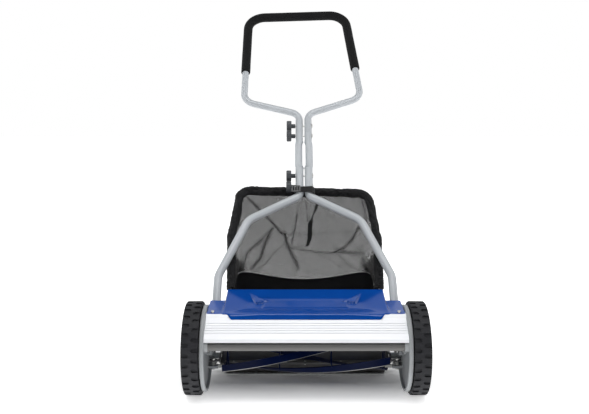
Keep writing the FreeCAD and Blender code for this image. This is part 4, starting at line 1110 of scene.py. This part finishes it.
@dataclass(frozen=True)
class Catcher:
    """Grass catcher: a net bag with a solid tray, sewn to a sleeve on a wire rim.

    A pair named from is where an effect starts and where it is full. A wave is the scale of
    a noise per metre and its depth; a wrinkle has its scale along, round, and its depth.
    """

    rim_drop: float = 34.0
    rim: tuple[Pair, ...] = ((216.0, 66.0), (223.0, 262.0), (202.0, 434.0))
    rim_bend: float = 40.0
    hem_radius: float = 11.0
    hem_slack: float = 2.8
    hem_skew: float = 6.0
    hem_start: float = 16.0
    floor_height: float = 88.0
    front_behind: float = 150.0
    rear_behind: float = 396.0
    floor_bend: float = 46.0
    seam_front: Pair = (130.0, 128.0)
    seam_rear: Pair = (416.0, 282.0)
    seam_sag: float = 44.0
    piping_radius: float = 1.5
    squareness: float = 5.0
    girth: float = 1050.0
    step: float = 4.0
    pull_x: float = 44.0
    pull_width: float = 14.0
    pull_length: float = 166.0
    pull_sheet: float = 1.2
    pull_lean: float = 36.0
    pull_sway: float = 4.0
    pull_twist: Pair = (0.42, 0.10)
    free_from: Pair = (4.0, 50.0)
    back_from: Pair = (330.0, 388.0)
    sag_reach: float = 90.0
    sag_half: float = 222.0
    broad_wave: Pair = (14.0, 7.0)
    small_wave: Pair = (34.0, 2.6)
    shade_line: Triple = (236.0, 345.0, 0.46)
    shade_from: Pair = (-14.0, 10.0)
    shade_gather: float = 0.85
    corner_from: Pair = (176.0, 208.0)
    corner_rise: Pair = (10.0, 60.0)
    corner_shade_gather: float = 0.8
    hollow_from: Pair = (150.0, 225.0)
    hollow_height: Pair = (300.0, 60.0)
    hollow_back: Pair = (190.0, 330.0)
    hollow_depth: float = 16.0
    net_hold: float = 26.0
    tray_hold: float = 40.0
    tray_ripple: float = 0.35
    hem_lean: Triple = (26.0, 0.8, 3.2)
    hem_crease: Triple = (62.0, 1.9, 2.4)
    hem_pinch: Pair = (17.0, 2.6)
    hem_askew: float = 1.4

    def rim_line(self) -> list[Vector]:
        """Lays out the rim wire.

        Returns:
            Its corners, from the left hook's shank to the right one's.
        """
        left = [HANDLE.point(-x, along, -self.rim_drop) for x, along in self.rim]
        return left + [Vector((-point.x, point.y, point.z)) for point in reversed(left)]

    def side_rim(self) -> list[Vector]:
        """Lays out the left side of the rim.

        Returns:
            Points as far as the start of its top bend, a millimetre apart.
        """
        low, middle, top = self.rim_line()[:3]
        top = middle.lerp(top, 1 - self.rim_bend * 0.75 * MM / (top - middle).length)
        return evenly([low, middle, top], MM)

    def keel(self) -> list[Vector]:
        """Lays out the line down the bag's middle.

        Returns:
            Points back along the floor and up to the top bar, a millimetre apart.
        """
        front = mower_point(0, self.front_behind, self.floor_height)
        corner = mower_point(0, self.rear_behind, self.floor_height)
        top = HANDLE.point(0, self.rim[-1][1], -self.rim_drop)
        return rounded_run([front, corner, top], [self.floor_bend * MM], MM)

    def section(self, rim: Vector, keel: Vector, count: int) -> list[Vector]:
        """Draws one U-shaped section of the bag.

        Args:
            rim: The section's end on the left side of the rim.
            keel: Its lowest point.
            count: How many steps it has.

        Returns:
            Points from its left rim to its right one.
        """
        power = 2 / self.squareness
        line = []
        for k in range(241):
            angle = math.pi * k / 240
            width = math.copysign(abs(math.cos(angle)) ** power, -math.cos(angle))
            middle = Vector((0, rim.y, rim.z)).lerp(keel, math.sin(angle) ** power)
            line.append(Vector((abs(rim.x) * width, middle.y, middle.z)))
        return evenly(line, reaches(line)[-1] / count)[:count + 1]

    def shell(self) -> Thing:
        """Draws the whole bag as one smooth shell.

        Returns:
            The shell, with a map in metres.
        """
        rim, keel = self.side_rim(), self.keel()
        rows = round(len(keel) / self.step)
        across = round(self.girth / self.step)
        sections = []
        for row in range(rows + 1):
            share = row / rows
            side, low = rim[round(share * (len(rim) - 1))], keel[round(share * (len(keel) - 1))]
            sections.append(self.section(side, low, across))
        return cloth("bag", sections, lambda row, k: (k * self.step * MM, row * self.step * MM))

    def seam(self) -> tuple[Vector, Vector]:
        """Reads off the plane of the seam between tray and net.

        Returns:
            A point of it, and the direction square to it, towards the net.
        """
        start = mower_point(0, *self.seam_front)
        run = (mower_point(0, *self.seam_rear) - start).normalized()
        return start, Vector((0.0, -run.z, run.y))

    def half(self, shell: Thing, name: str, net: bool) -> Thing:
        """Copies the shell and cuts the copy off at the seam.

        Args:
            shell: The whole bag.
            name: The copy's name.
            net: Whether the net is kept, and not the tray.

        Returns:
            The copy.
        """
        thing = own_copy(shell)
        thing.name = name
        start, square = self.seam()
        edit_all(thing)
        bpy.ops.mesh.bisect(plane_co=start, plane_no=square, clear_outer=not net, clear_inner=net)
        leave_edit()
        return thing

    def drape(self, point: Vector, outside: Vector, net: bool) -> tuple[Vector, float]:
        """Works out where a point of the shell hangs.

        Args:
            point: The point.
            outside: The direction out of the bag there.
            net: Whether it belongs to the net, and not to the tray.

        Returns:
            Its place, and how far the net is drawn denser there: gathered at its folds, and painted shade on its
            side walls and corners.
        """
        start, square = self.seam()
        x, behind, z = point.x / MM, (point.y - AXLE.y) / MM, point.z / MM
        from_seam = (point - start).dot(square) / MM
        from_rim = (HANDLE.point(0, 0, -self.rim_drop) - point).dot(HANDLE.above) / MM
        free = smooth_share(from_rim, *self.free_from)
        back = smooth_share(behind, *self.back_from)
        sag = self.seam_sag * back * (1 - (x / self.sag_half) ** 2)
        sag *= math.exp(-((from_seam / self.sag_reach) ** 2))
        sag *= smooth_share(z, self.floor_height, self.floor_height + self.sag_reach)
        (scale, depth), (small_scale, small_depth) = self.broad_wave, self.small_wave
        ripple = noise.noise(point * scale) * depth
        ripple += noise.noise(point * small_scale + NOISE_SHIFT) * small_depth
        gather = 0.0
        if net:
            for fold in NET_FOLDS:
                near = fold.nearness(x, z) * back
                gather = max(gather, near * fold.gather)
                ripple += near * fold.rise
            # Painted shade: below a sloping line on the side walls, and in the corners by the seam, the net is
            # drawn denser and so darker.
            start_behind, start_height, fall = self.shade_line
            under = start_height - (behind - start_behind) * fall - z
            shade = smooth_share(under, *self.shade_from) * (1 - back)
            corner = smooth_share(abs(x), *self.corner_from) * (1 - smooth_share(from_seam, *self.corner_rise))
            gather = max(gather, self.shade_gather * shade, self.corner_shade_gather * corner)
            off_seam = smooth_share(from_seam, 0.0, self.net_hold)
            height, spread = self.hollow_height
            hollow = smooth_share(abs(x), *self.hollow_from) * math.exp(-(((z - height) / spread) ** 2))
            ripple -= self.hollow_depth * hollow * off_seam * smooth_share(behind, *self.hollow_back)
            ripple *= off_seam
        else:
            ripple *= self.tray_ripple * smooth_share(-from_seam, 0.0, self.tray_hold)
        return point - Vector((0.0, 0.0, sag * MM)) + outside * (ripple * free * MM), gather

    def hang(self, thing: Thing, net: bool) -> None:
        """Moves a cut half to where it hangs, and notes where its cloth is gathered and where the net carries
        painted shade.

        Args:
            thing: The half.
            net: Whether it is the net, and not the tray.
        """
        mesh = thing.data
        marks = mesh.attributes.new("gather", "FLOAT", "POINT")
        inside = mower_point(0, 260.0, 320.0)
        normals = [vertex.normal.copy() for vertex in mesh.vertices]
        for vertex, normal in zip(mesh.vertices, normals):
            outside = normal if (inside - vertex.co).dot(normal) < 0 else -normal
            vertex.co, marks.data[vertex.index].value = self.drape(vertex.co.copy(), outside, net)
        mesh.update()

    def seam_points(self, tray: Thing) -> list[int]:
        """Finds the tray's cut edge.

        Args:
            tray: The tray, before it hangs.

        Returns:
            The numbers of the edge's points, in order from its front left end.
        """
        start, square = self.seam()
        near = [vertex for vertex in tray.data.vertices if abs((vertex.co - start).dot(square)) < 1e-5]
        near.sort(key=lambda vertex: math.atan2(vertex.co.x, vertex.co.y - start.y))
        return [vertex.index for vertex in near]

    def wrinkled(self, along: float, angle: float) -> float:
        """Works out the hem's radius: cloth gathered round a wire, with creases that run askew.

        Args:
            along: Distance along the hem, in metres.
            angle: Angle round it.

        Returns:
            The radius in metres.
        """
        radius = self.hem_radius + self.hem_slack
        scale, around, depth = self.hem_lean
        radius += depth * round_noise(along * scale, angle, around)
        scale, around, depth = self.hem_crease
        crease = round_noise(along * scale + angle * self.hem_askew, angle, around)
        radius += depth * (0.5 - abs(crease) * 3.0)
        scale, depth = self.hem_pinch
        radius -= depth * max(0.0, noise.noise(Vector((along * scale + 9.0, 0.3, 0.7))))
        return radius * MM

    def hem(self) -> Thing:
        """Builds the sleeve round the rim wire.

        Returns:
            The sleeve.
        """
        points = self.rim_line()
        for end, after in ((0, 1), (-1, -2)):
            points[end] = points[end] + (points[after] - points[end]).normalized() * self.hem_start * MM
        points[2] = points[2] + HANDLE.along * self.hem_skew * MM
        points[3] = points[3] - HANDLE.along * self.hem_skew * MM
        bend = self.rim_bend * MM
        path = rounded_run(points, [bend * 3, bend, bend, bend * 3], 0.0025)
        thing = sleeve("catcher_sleeve", path, 40, self.wrinkled)
        return hand_over(thing, "catcher_sleeve", "catcher", "hem_fabric", ["catcher_hem"])

    def piping(self, line: Sequence[Vector]) -> Thing:
        """Builds the thin binding along the seam, whose pale grey paints the highlight along it.

        Args:
            line: Points along the seam.

        Returns:
            The binding.
        """
        path = evenly([point + Vector((0.0, -0.0012, 0.0)) for point in line], 0.004)
        thing = sleeve("seam_piping", path, 10, lambda along, angle: self.piping_radius * MM)
        return hand_over(thing, "seam_piping", "catcher", "hem_fabric", finish="piping")

    def pull(self) -> None:
        """Builds the limp strip that hangs from the top of the rim, with its twist."""
        top = HANDLE.point(self.pull_x, self.rim[-1][1], -self.rim_drop)
        top += Vector((0.0, -0.004, -self.hem_radius * MM))
        width, length = self.pull_width * MM, self.pull_length * MM
        twist_at, twist_length = self.pull_twist
        rows, columns = 64, 6
        points = []
        for row in range(rows + 1):
            share = row / rows
            lean = (self.pull_sway * math.sin(share * 9.0) - self.pull_lean * share) * MM
            middle = top + Vector((lean, -self.pull_sway * MM * math.sin(share * 5.0), -length * share))
            turn = 0.5 * math.sin(share * 7.5) + math.exp(-(((share - twist_at) / twist_length) ** 2)) + 0.2
            arm = Vector((math.cos(turn), math.sin(turn), 0.35 * math.sin(turn))) * (width / 2)
            points.append([middle + arm * (k / columns * 2 - 1) for k in range(columns + 1)])
        thing = cloth("pull_tape", points, lambda row, k: (width * k / columns, length * row / rows))
        apply_modifier(thing, "SOLIDIFY", thickness=self.pull_sheet * MM, offset=0.0)
        hand_over(thing, "pull_tape", "catcher", "black_webbing", ["pull_strip"])

    def build(self) -> None:
        """Builds the whole catcher, and says what cloth it is cut from."""
        shell = self.shell()
        tray = self.half(shell, "bag_tray", False)
        net = self.half(shell, "bag_net", True)
        bpy.data.objects.remove(shell)
        edge = self.seam_points(tray)
        self.hang(tray, False)
        self.hang(net, True)
        line = [tray.data.vertices[number].co.copy() for number in edge]
        hand_over(tray, "bag_tray", "catcher", "tray_fabric", ["catcher_tray"])
        hand_over(net, "bag_net", "catcher", "mesh_fabric", ["catcher_mesh"])
        hem = self.hem()
        piping = self.piping(line)
        self.pull()


# ---- the pressed cover -------------------------------------------------------------------
@dataclass(frozen=True)
class TopCover:
    """Pressed steel hood over the reel, with a wing and a fixing tab at each end.

    Pairs named for a place in its profile are a distance behind the axle and a height. A
    pair named turn is where, from the middle, one form starts to give way and where it ends.
    """

    half_width: float = 266.0
    hood_half: float = 222.0
    rear_half: float = 216.0
    lip_half: float = 199.0
    sheet: float = 1.4
    front: Pair = (-47.0, 233.0)
    front_lift: float = 2.5
    lip: Pair = (-53.5, 222.6)
    lip_bend: float = 2.2
    lip_bend_reach: float = 1.8
    lip_fade: float = 0.80
    wing_front: Pair = (-40.0, 235.0)
    wing_rear: float = 62.0
    rear: Pair = (80.0, 270.0)
    panel_foot: Pair = (33.0, 249.0)
    apron_slopes: Pair = (0.08, 0.095)
    apron_turn: Pair = (110.0, 200.0)
    apron_bulge: float = 0.9
    ledge_front: float = -5.0
    ledge_half: float = 112.0
    ledge_rise: float = 2.6
    ledge_slope: float = 0.16
    ledge_turn: Pair = (150.0, 215.0)
    ledge_end: float = 9.0
    flare_foot: Triple = (141.0, 20.0, 243.2)
    flare_corner: Triple = (219.0, 75.0, 267.8)
    flare_lean: float = 0.30
    arrow_corners: tuple[Pair, ...] = ((156.0, 62.0), (104.0, 27.0), (136.0, 18.0))
    arrow_slope: float = 0.24
    arrow_side: float = 3.0
    arrow_rise: float = 30.0
    arrow_below: float = 9.0
    tab_width: float = 34.0
    tab_middle: float = -4.0
    tab_drop: float = 30.0
    tab_corner: float = 6.0
    rounding: float = 1.6
    rows: int = 52
    lip_rows: int = 6

    def upper(self, first: float, second: float) -> float:
        """Returns the larger of two heights, with the crease between them rounded."""
        return (first + second + math.sqrt((first - second) ** 2 + self.rounding ** 2)) / 2

    def panel(self, y: float) -> float:
        """Returns the height of the plane that the rear panel lies in."""
        lean = (self.rear[1] - self.panel_foot[1]) / (self.rear[0] - self.panel_foot[0])
        return self.panel_foot[1] + (y - self.panel_foot[0]) * lean

    def flare(self, x: float, y: float) -> float:
        """Works out the plane of a flare, from an arrow's foot up to a rear corner.

        Args:
            x: Distance from the middle.
            y: Place behind the axle.

        Returns:
            The plane's height.
        """
        foot, corner = Vector(self.flare_foot), Vector(self.flare_corner)
        spread = (corner.z - foot.z - self.flare_lean * (corner.y - foot.y)) / (corner.x - foot.x)
        return foot.z + self.flare_lean * (y - foot.y) + spread * (x - foot.x)

    def arrow(self, x: float, y: float, floor: float) -> float:
        """Works out the arrow-shaped pad that is pressed into each end of the rear panel.

        Args:
            x: Distance from the middle.
            y: Place behind the axle.
            floor: Height of the sheet around the pad.

        Returns:
            The pad's own height, which is far below the sheet outside the pad.
        """
        tip, inner, outer = (Vector(corner) for corner in self.arrow_corners)
        inside = math.inf
        for start, end in ((tip, inner), (inner, outer), (outer, tip)):
            run = (end - start).normalized()
            inside = min(inside, (y - start.y) * run.x - (x - start.x) * run.y)
        if inside <= -self.arrow_side:
            return floor - self.arrow_below
        top = self.panel(tip.y) + (y - tip.y) * self.arrow_slope
        rise = self.arrow_rise * smooth_share(inside, -self.arrow_side, 2 * self.arrow_side)
        return min(top, floor + rise - 1.0)

    def height(self, x: float, y: float) -> float:
        """Works out the pressed sheet's height.

        Args:
            x: Place across the mower.
            y: Place behind the axle.

        Returns:
            The height above the lawn.
        """
        x = abs(x)
        side = smooth_share(x, *self.apron_turn)
        slope = self.apron_slopes[0] * (1 - side) + self.apron_slopes[1] * side
        apron = self.front[1] + self.front_lift * (1 - side) + (y - self.front[0]) * slope
        share = min(1.0, max(0.0, (y - self.front[0]) / (self.ledge_front - self.front[0])))
        apron += 4 * self.apron_bulge * share * (1 - share)
        apron += self.ledge_slope * max(0.0, y - self.ledge_front) * (1 - smooth_share(x, *self.ledge_turn))
        step = smooth_share(y, self.ledge_front - 2.0, self.ledge_front + 1.5)
        step *= 1 - smooth_share(x, self.ledge_half, self.ledge_half + self.ledge_end)
        ledge = apron + self.ledge_rise * step
        surface = self.upper(self.upper(ledge, self.panel(y)), self.flare(x, y))
        surface = self.upper(surface, self.arrow(x, y, ledge))
        outer = smooth_share(x, self.rear_half + 2.0, self.hood_half + 4.0)
        return surface + (apron - surface) * outer

    def edges(self, x: float) -> Pair:
        """Finds where the sheet's top ends.

        Args:
            x: Place across the mower.

        Returns:
            The places behind the axle of its front and its rear.
        """
        front_share = smooth_share(abs(x), self.lip_half + 2, self.lip_half + 14)
        rear_share = smooth_share(abs(x), self.rear_half + 1.0, self.hood_half + 3.0)
        return (self.front[0] + (self.wing_front[0] - self.front[0]) * front_share,
                self.rear[0] + (self.wing_rear - self.rear[0]) * rear_share)

    def columns(self) -> list[float]:
        """Lists the places across the sheet, closer where its shape turns.

        Returns:
            The places, from left to right.
        """
        half = [0.0, 20.0, 40.0, 60.0, 80.0, 96.0]
        half += [100.0 + 2.0 * k for k in range(34)] + [170.0, 176.0, 182.0, 188.0, 193.0]
        half += [196.0 + 1.5 * k for k in range(21)] + [230.0, 236.0, 244.0, 252.0, 259.0]
        half += [self.half_width - 0.6, self.half_width]
        return [-value for value in reversed(half[1:])] + half

    def pressed_point(self, x: float, row: int) -> Vector:
        """Places one point of the sheet.

        Args:
            x: Place across the mower.
            row: Number of its row from the fold at the front; below 0 it is on the lip.

        Returns:
            The point.
        """
        front, rear = self.edges(x)
        drop = 1 - self.lip_fade * smooth_share(abs(x), self.lip_half - 2, self.lip_half + 12)
        if row >= 0:
            y = front + (rear - front) * row / self.rows
            z = self.height(x, y) - self.lip_bend * drop * math.exp((front - y) / self.lip_bend_reach)
        else:
            share = -row / self.lip_rows
            run = (self.lip[0] - self.front[0]) * drop
            y = front + run * (0.85 * share + 0.15 * math.sin(share * math.pi / 2))
            top = self.height(x, front)
            z = top - self.lip_bend * drop + (self.lip[1] - top + self.lip_bend) * drop * share
        if abs(x) > self.half_width - 1.0:
            z -= 0.5
        return mower_point(x, y, z)

    def sheet_piece(self) -> Thing:
        """Builds the pressed sheet: a flat grid drawn to its heights, then given its thickness.

        Returns:
            The sheet.
        """
        places = self.columns()
        all_rows = self.rows + self.lip_rows
        deselect()
        bpy.ops.mesh.primitive_grid_add(x_subdivisions=len(places) - 1, y_subdivisions=all_rows, size=2.0)
        thing = bpy.context.active_object
        for vertex in thing.data.vertices:
            column = round((vertex.co.x + 1) / 2 * (len(places) - 1))
            row = round((vertex.co.y + 1) / 2 * all_rows)
            vertex.co = self.pressed_point(places[column], row - self.lip_rows)
        thing.data.update()
        apply_modifier(thing, "SOLIDIFY", thickness=self.sheet * MM, offset=-1.0)
        return thing

    def tab(self, side: int) -> Thing:
        """Builds the ear under one wing that is screwed to the side plate.

        Args:
            side: 1 for the right ear, -1 for the left one.

        Returns:
            The ear.
        """
        place = mower_point(side * (self.half_width - self.sheet / 2), self.tab_middle,
                            self.wing_front[1] + 2.0 - self.tab_drop / 2)
        thing = block(place, (self.sheet, self.tab_width, self.tab_drop))
        round_edges(thing, lambda middle, run: abs(run.x) > 0.9 and middle.z < place.z, self.tab_corner, 5)
        return thing

    def build(self) -> None:
        """Builds the cover."""
        cover = join([self.sheet_piece(), self.tab(1), self.tab(-1)])
        hand_over(cover, "pressed_cover", "chassis", "blue_enamel", ["top_cover"], 40.0)


# ---- the wheels' tyres -------------------------------------------------------------------
@dataclass(frozen=True)
class LuggedTyre:
    """Rubber tyre with two staggered rows of round-ended pockets open to its edges."""

    radius: float = 127.0
    rim_radius: float = 119.0
    inner_x: float = 281.0
    width: float = 44.5
    lugs: int = 30
    pocket_width: float = 12.5
    pocket_depth: float = 4.4
    outer_length: float = 18.0
    inner_length: float = 20.0
    shoulder: float = 4.5
    lug_edge: float = 0.7
    cuts: int = 8

    def pocket(self, along: float, reach: float, from_far_edge: bool) -> Thing:
        """Builds the cutter for one pocket: a round end drawn out past the tyre's edge.

        Args:
            along: Its middle's place along the tread.
            reach: How far it goes in from the tyre's edge.
            from_far_edge: Whether that is the edge farther from the mower.

        Returns:
            The cutter.
        """
        radius = self.pocket_width / 2
        middle = self.width - (reach - radius) if from_far_edge else reach - radius
        deselect()
        bpy.ops.mesh.primitive_cylinder_add(vertices=20, radius=radius * MM, depth=2 * self.pocket_depth * MM,
                                            location=(along * MM, 0.0, middle * MM),
                                            rotation=(math.pi / 2, 0.0, 0.0))
        cutter = apply_transform(bpy.context.active_object)
        way = 1 if from_far_edge else -1
        pick(cutter, Part.VERTEX, lambda co, normal: way * (co.z - middle * MM) > 1e-6)
        bpy.ops.transform.translate(value=(0.0, 0.0, way * reach * MM))
        leave_edit()
        return cutter

    def cell(self, pitch: float) -> Thing:
        """Builds the flat piece of tread that repeats, with a pocket of each row.

        Args:
            pitch: Its length along the tread.

        Returns:
            The piece, open at both ends of its length.
        """
        depth = self.radius - self.rim_radius
        thing = block((pitch / 2 * MM, depth / 2 * MM, self.width / 2 * MM), (pitch, depth, self.width))
        round_edges(thing, lambda middle, run: abs(run.x) > 0.9 and middle.y < depth / 2 * MM, self.shoulder, 3)
        cut_out(thing, self.pocket(pitch * 0.25, self.outer_length, True))
        cut_out(thing, self.pocket(pitch * 0.75, self.inner_length, False))
        for k in range(1, self.cuts):
            edit_all(thing)
            bpy.ops.mesh.bisect(plane_co=(pitch * k / self.cuts * MM, 0, 0), plane_no=(1, 0, 0))
            leave_edit()
        pick(thing, Part.FACE, lambda middle, normal: abs(normal.x) > 0.9 and not
             0.01 * MM < middle.x < (pitch - 0.01) * MM)
        bpy.ops.mesh.delete(type="FACE")
        leave_edit()
        return thing

    def ring(self) -> Thing:
        """Builds the right tyre: the piece repeated, and bent round the wheel's axle.

        Returns:
            The tyre, in its place.
        """
        pitch = math.tau * self.radius / self.lugs
        thing = self.cell(pitch)
        apply_modifier(thing, "ARRAY", count=self.lugs, use_relative_offset=False, use_constant_offset=True,
                       constant_offset_displace=(pitch * MM, 0.0, 0.0), use_merge_vertices=True,
                       merge_threshold=0.02 * MM)
        apply_modifier(thing, "BEVEL", width=self.lug_edge * MM, segments=2, limit_method="ANGLE",
                       angle_limit=math.radians(40), harden_normals=False)
        apply_modifier(thing, "SIMPLE_DEFORM", deform_method="BEND", deform_axis="Z", angle=math.tau)
        edit_all(thing)
        bpy.ops.mesh.remove_doubles(threshold=0.05 * MM)
        bpy.ops.mesh.normals_make_consistent(inside=False)
        bpy.ops.transform.translate(value=(0.0, -self.radius * MM, 0.0))
        bpy.ops.transform.rotate(value=math.pi / 2, orient_axis="Y", center_override=(0.0, 0.0, 0.0))
        leave_edit()
        low = min(vertex.co.x for vertex in thing.data.vertices)
        edit_all(thing)
        bpy.ops.transform.translate(value=(self.inner_x * MM - low, AXLE.y, AXLE.z))
        leave_edit()
        return thing

    def build(self) -> None:
        """Builds both tyres."""
        right = self.ring()
        left = own_copy(right)
        left.scale.x = -1.0
        outward(apply_transform(left))
        hand_over(right, "lugged_tyre_right", "wheel_right", "tyre_rubber", ["tyre_right"], 35.0)
        hand_over(left, "lugged_tyre_left", "wheel_left", "tyre_rubber", ["tyre_left"], 35.0)


# ---- the adjusters' springs --------------------------------------------------------------
@dataclass(frozen=True)
class AdjusterSprings:
    """Coil springs that hold the bed bar's tabs against their adjusting bolts."""

    radius: float = 5.5
    wire: float = 0.75
    turns: int = 5

    def coil(self, side: int) -> Thing:
        """Builds one spring: a round section screwed up round its bolt.

        Args:
            side: 1 for the right spring, -1 for the left one.

        Returns:
            The spring, in its place.
        """
        low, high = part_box("adjuster_springs")
        deselect()
        bpy.ops.mesh.primitive_circle_add(vertices=8, radius=self.wire * MM, rotation=(math.pi / 2, 0.0, 0.0),
                                          location=((self.radius - self.wire) * MM, 0.0, 0.0))
        thing = apply_transform(bpy.context.active_object)
        rise = (high.z - low.z - 2 * self.wire * MM) / self.turns
        apply_modifier(thing, "SCREW", axis="Z", screw_offset=rise, iterations=self.turns, steps=20)
        edit_all(thing)
        bpy.ops.mesh.fill_holes(sides=8)
        place = (side * (high.x - self.radius * MM), (low.y + high.y) / 2, low.z + self.wire * MM)
        bpy.ops.transform.translate(value=place)
        leave_edit()
        outward(thing)
        return thing

    def build(self) -> None:
        """Builds both springs."""
        springs = join([self.coil(1), self.coil(-1)])
        hand_over(springs, "coil_springs", "chassis", "zinc_steel", ["adjuster_springs"])


# ---- the handle's soft pieces ------------------------------------------------------------
@dataclass(frozen=True)
class HandleSoft:
    """Foam grip on the loop, and the webbing strap that ties the catcher to the handle.

    A wave is the scale of a noise and its depth; the band's scale is over its whole length.
    """

    loop_neck: float = 734.0
    corner: Pair = (180.0, 1226.0)
    shoulder: Pair = (201.0, 801.0)
    lean: float = 2.6
    corner_bend: float = 64.0
    grip_foot: float = 938.0
    grip_radius: float = 16.2
    grip_end: float = 6.0
    grip_end_radius: float = 12.4
    strap_middle: float = 409.0
    strap_width: float = 20.0
    strap_side: float = 30.4
    strap_front: float = 14.6
    strap_bend: float = 9.0
    strap_sheet: float = 1.6
    tail_sheet: float = 1.5
    tail_run: tuple[Triple, ...] = ((-9.0, -2.0, 0.6), (2.0, -2.0, 1.0), (14.0, -1.0, 0.8), (24.0, -1.0, -0.4),
                                    (30.5, -3.0, -5.0), (33.0, -6.0, -12.0))
    tail_width: float = 19.0
    tail_spread: float = 6.0
    step: float = 1.5
    foam_wave: Pair = (30.0, 0.35)
    band_wave: Pair = (9.0, 0.7)
    buckle_left: float = -40.0
    buckle_length: float = 28.0
    buckle_sheet: float = 3.2
    buckle_margin: float = 2.0
    buckle_rail: float = 3.5
    slot_first: float = 6.4
    slot_pitch: float = 7.6
    slot_length: float = 4.4

    def leaned(self, x: float, along: float) -> Vector:
        """Places a point of the loop, which leans a little to the left.

        Args:
            x: Distance across the loop as it would stand straight.
            along: Distance up the handle as it would stand straight.

        Returns:
            The point.
        """
        turn = math.radians(self.lean)
        rise = along - self.loop_neck
        return HANDLE.point(x * math.cos(turn) - rise * math.sin(turn),
                            self.loop_neck + x * math.sin(turn) + rise * math.cos(turn))

    def grip(self) -> None:
        """Builds the foam sleeve, with rounded ends and a slightly uneven skin."""
        drop = (self.corner[1] - self.grip_foot) / (self.corner[1] - self.shoulder[1])
        foot_x = self.corner[0] + (self.shoulder[0] - self.corner[0]) * drop
        corners = [self.leaned(-foot_x, self.grip_foot), self.leaned(-self.corner[0], self.corner[1]),
                   self.leaned(self.corner[0], self.corner[1]), self.leaned(foot_x, self.grip_foot)]
        path = rounded_run(corners, [self.corner_bend * MM] * 2, self.step * MM)
        length = reaches(path)[-1] / MM
        scale, depth = self.foam_wave

        def radius(along: float, angle: float) -> float:
            """Works out the foam's radius, drawn in to a rounded edge at its two ends.

            Args:
                along: Distance along the grip, in metres.
                angle: Angle round it.

            Returns:
                The radius in metres.
            """
            share = min(1.0, max(0.0, min(along / MM, length - along / MM) / self.grip_end))
            full = (self.grip_radius - self.grip_end_radius) * math.sqrt(1 - (1 - share) ** 2)
            lump = round_noise(along * scale, angle) * depth
            return (self.grip_end_radius + full + lump * share) * MM

        thing = sleeve("foam_sleeve", path, 40, radius)
        hand_over(thing, "foam_sleeve", "handle", "grip_foam", ["foam_grip"], 50.0)

    def band(self, name: str, route: Sequence[Triple], slot: str, node: str,
             width: Callable[[float], float], sheet: float, closed: bool = False) -> None:
        """Builds a piece of webbing.

        Args:
            name: The piece's name.
            route: The middle of the band, as across, along and above, in millimetres.
            slot: Its material slot.
            node: The node that it replaces.
            width: The band's width, in millimetres, at a share of its length.
            sheet: Its thickness in millimetres.
            closed: Whether it joins up with its own start.
        """
        points = [HANDLE.point(*place) for place in route]
        step, columns = self.step * MM, 10
        scale, depth = self.band_wave
        path = evenly(points + points[:1], step)[:-1] if closed else evenly(points, step)
        rows = []
        for number, middle in enumerate(path):
            share = number / len(path)
            sag = noise.noise(Vector((share * scale, 0.4, 0.9))) * depth * MM
            half = width(share) / 2 * MM
            rows.append([middle + HANDLE.along * ((k / columns * 2 - 1) * half + sag)
                         for k in range(columns + 1)])
        thing = cloth(name, rows, lambda row, k: (row * step, width(row / len(path)) * MM * k / columns),
                      closed)
        apply_modifier(thing, "SOLIDIFY", thickness=sheet * MM, offset=0.0)
        outward(thing)
        hand_over(thing, name, "handle", slot, [node], 50.0)

    def strap(self) -> None:
        """Builds the strap round the two tubes, and its loose end."""
        bend = self.strap_bend
        ring = []
        for right, front, start in ((1, 1, 90), (1, -1, 0), (-1, -1, -90), (-1, 1, 180)):
            for k in range(7):
                angle = math.radians(start - 15 * k)
                ring.append((right * (self.strap_side - bend) + bend * math.cos(angle), self.strap_middle,
                             front * (self.strap_front - bend) + bend * math.sin(angle)))
        self.band("tie_webbing", ring, "webbing", "catcher_strap", lambda share: self.strap_width,
                  self.strap_sheet, closed=True)
        above = self.strap_front + self.strap_sheet
        tail = [(x, self.strap_middle + along, above + off) for x, along, off in self.tail_run]
        self.band("tie_end", tail, "black_webbing", "strap_tail",
                  lambda share: self.tail_width + self.tail_spread * share, self.tail_sheet)

    def buckle(self) -> None:
        """Builds the ladder lock: a rounded frame with three slots."""
        width = self.strap_width + 2 * self.buckle_margin
        thing = block(((self.buckle_left + self.buckle_length / 2) * MM, 0, 0),
                      (self.buckle_length, width, self.buckle_sheet))
        round_edges(thing, lambda middle, run: abs(run.z) > 0.9, 3.0, 5)
        for k in range(3):
            across = self.buckle_left + self.slot_first + self.slot_pitch * k
            hole = (self.slot_length, width - 2 * self.buckle_rail, 3 * self.buckle_sheet)
            cut_out(thing, block((across * MM, 0, 0), hole))
        apply_modifier(thing, "BEVEL", width=0.8 * MM, segments=3, limit_method="ANGLE",
                       angle_limit=math.radians(40))
        place = HANDLE.point(0, self.strap_middle, self.strap_front + self.strap_sheet + self.buckle_sheet / 2)
        turn = Matrix((Vector((1, 0, 0)), HANDLE.along, HANDLE.above)).transposed()
        thing.matrix_world = Matrix.Translation(place) @ turn.to_4x4()
        hand_over(apply_transform(thing), "ladder_lock", "handle", "buckle_plastic", ["strap_buckle"], 35.0)

    def build(self) -> None:
        """Builds the grip, strap and buckle."""
        self.grip()
        self.strap()
        self.buckle()


def main() -> None:
    """Builds the whole scene, piece by piece."""
    logging.basicConfig(level=logging.INFO, format="%(name)s: %(message)s")
    Studio().build()
    dress_frame()
    TopCover().build()
    LuggedTyre().build()
    AdjusterSprings().build()
    HandleSoft().build()
    Catcher().build()


if __name__ == "__main__":
    main()
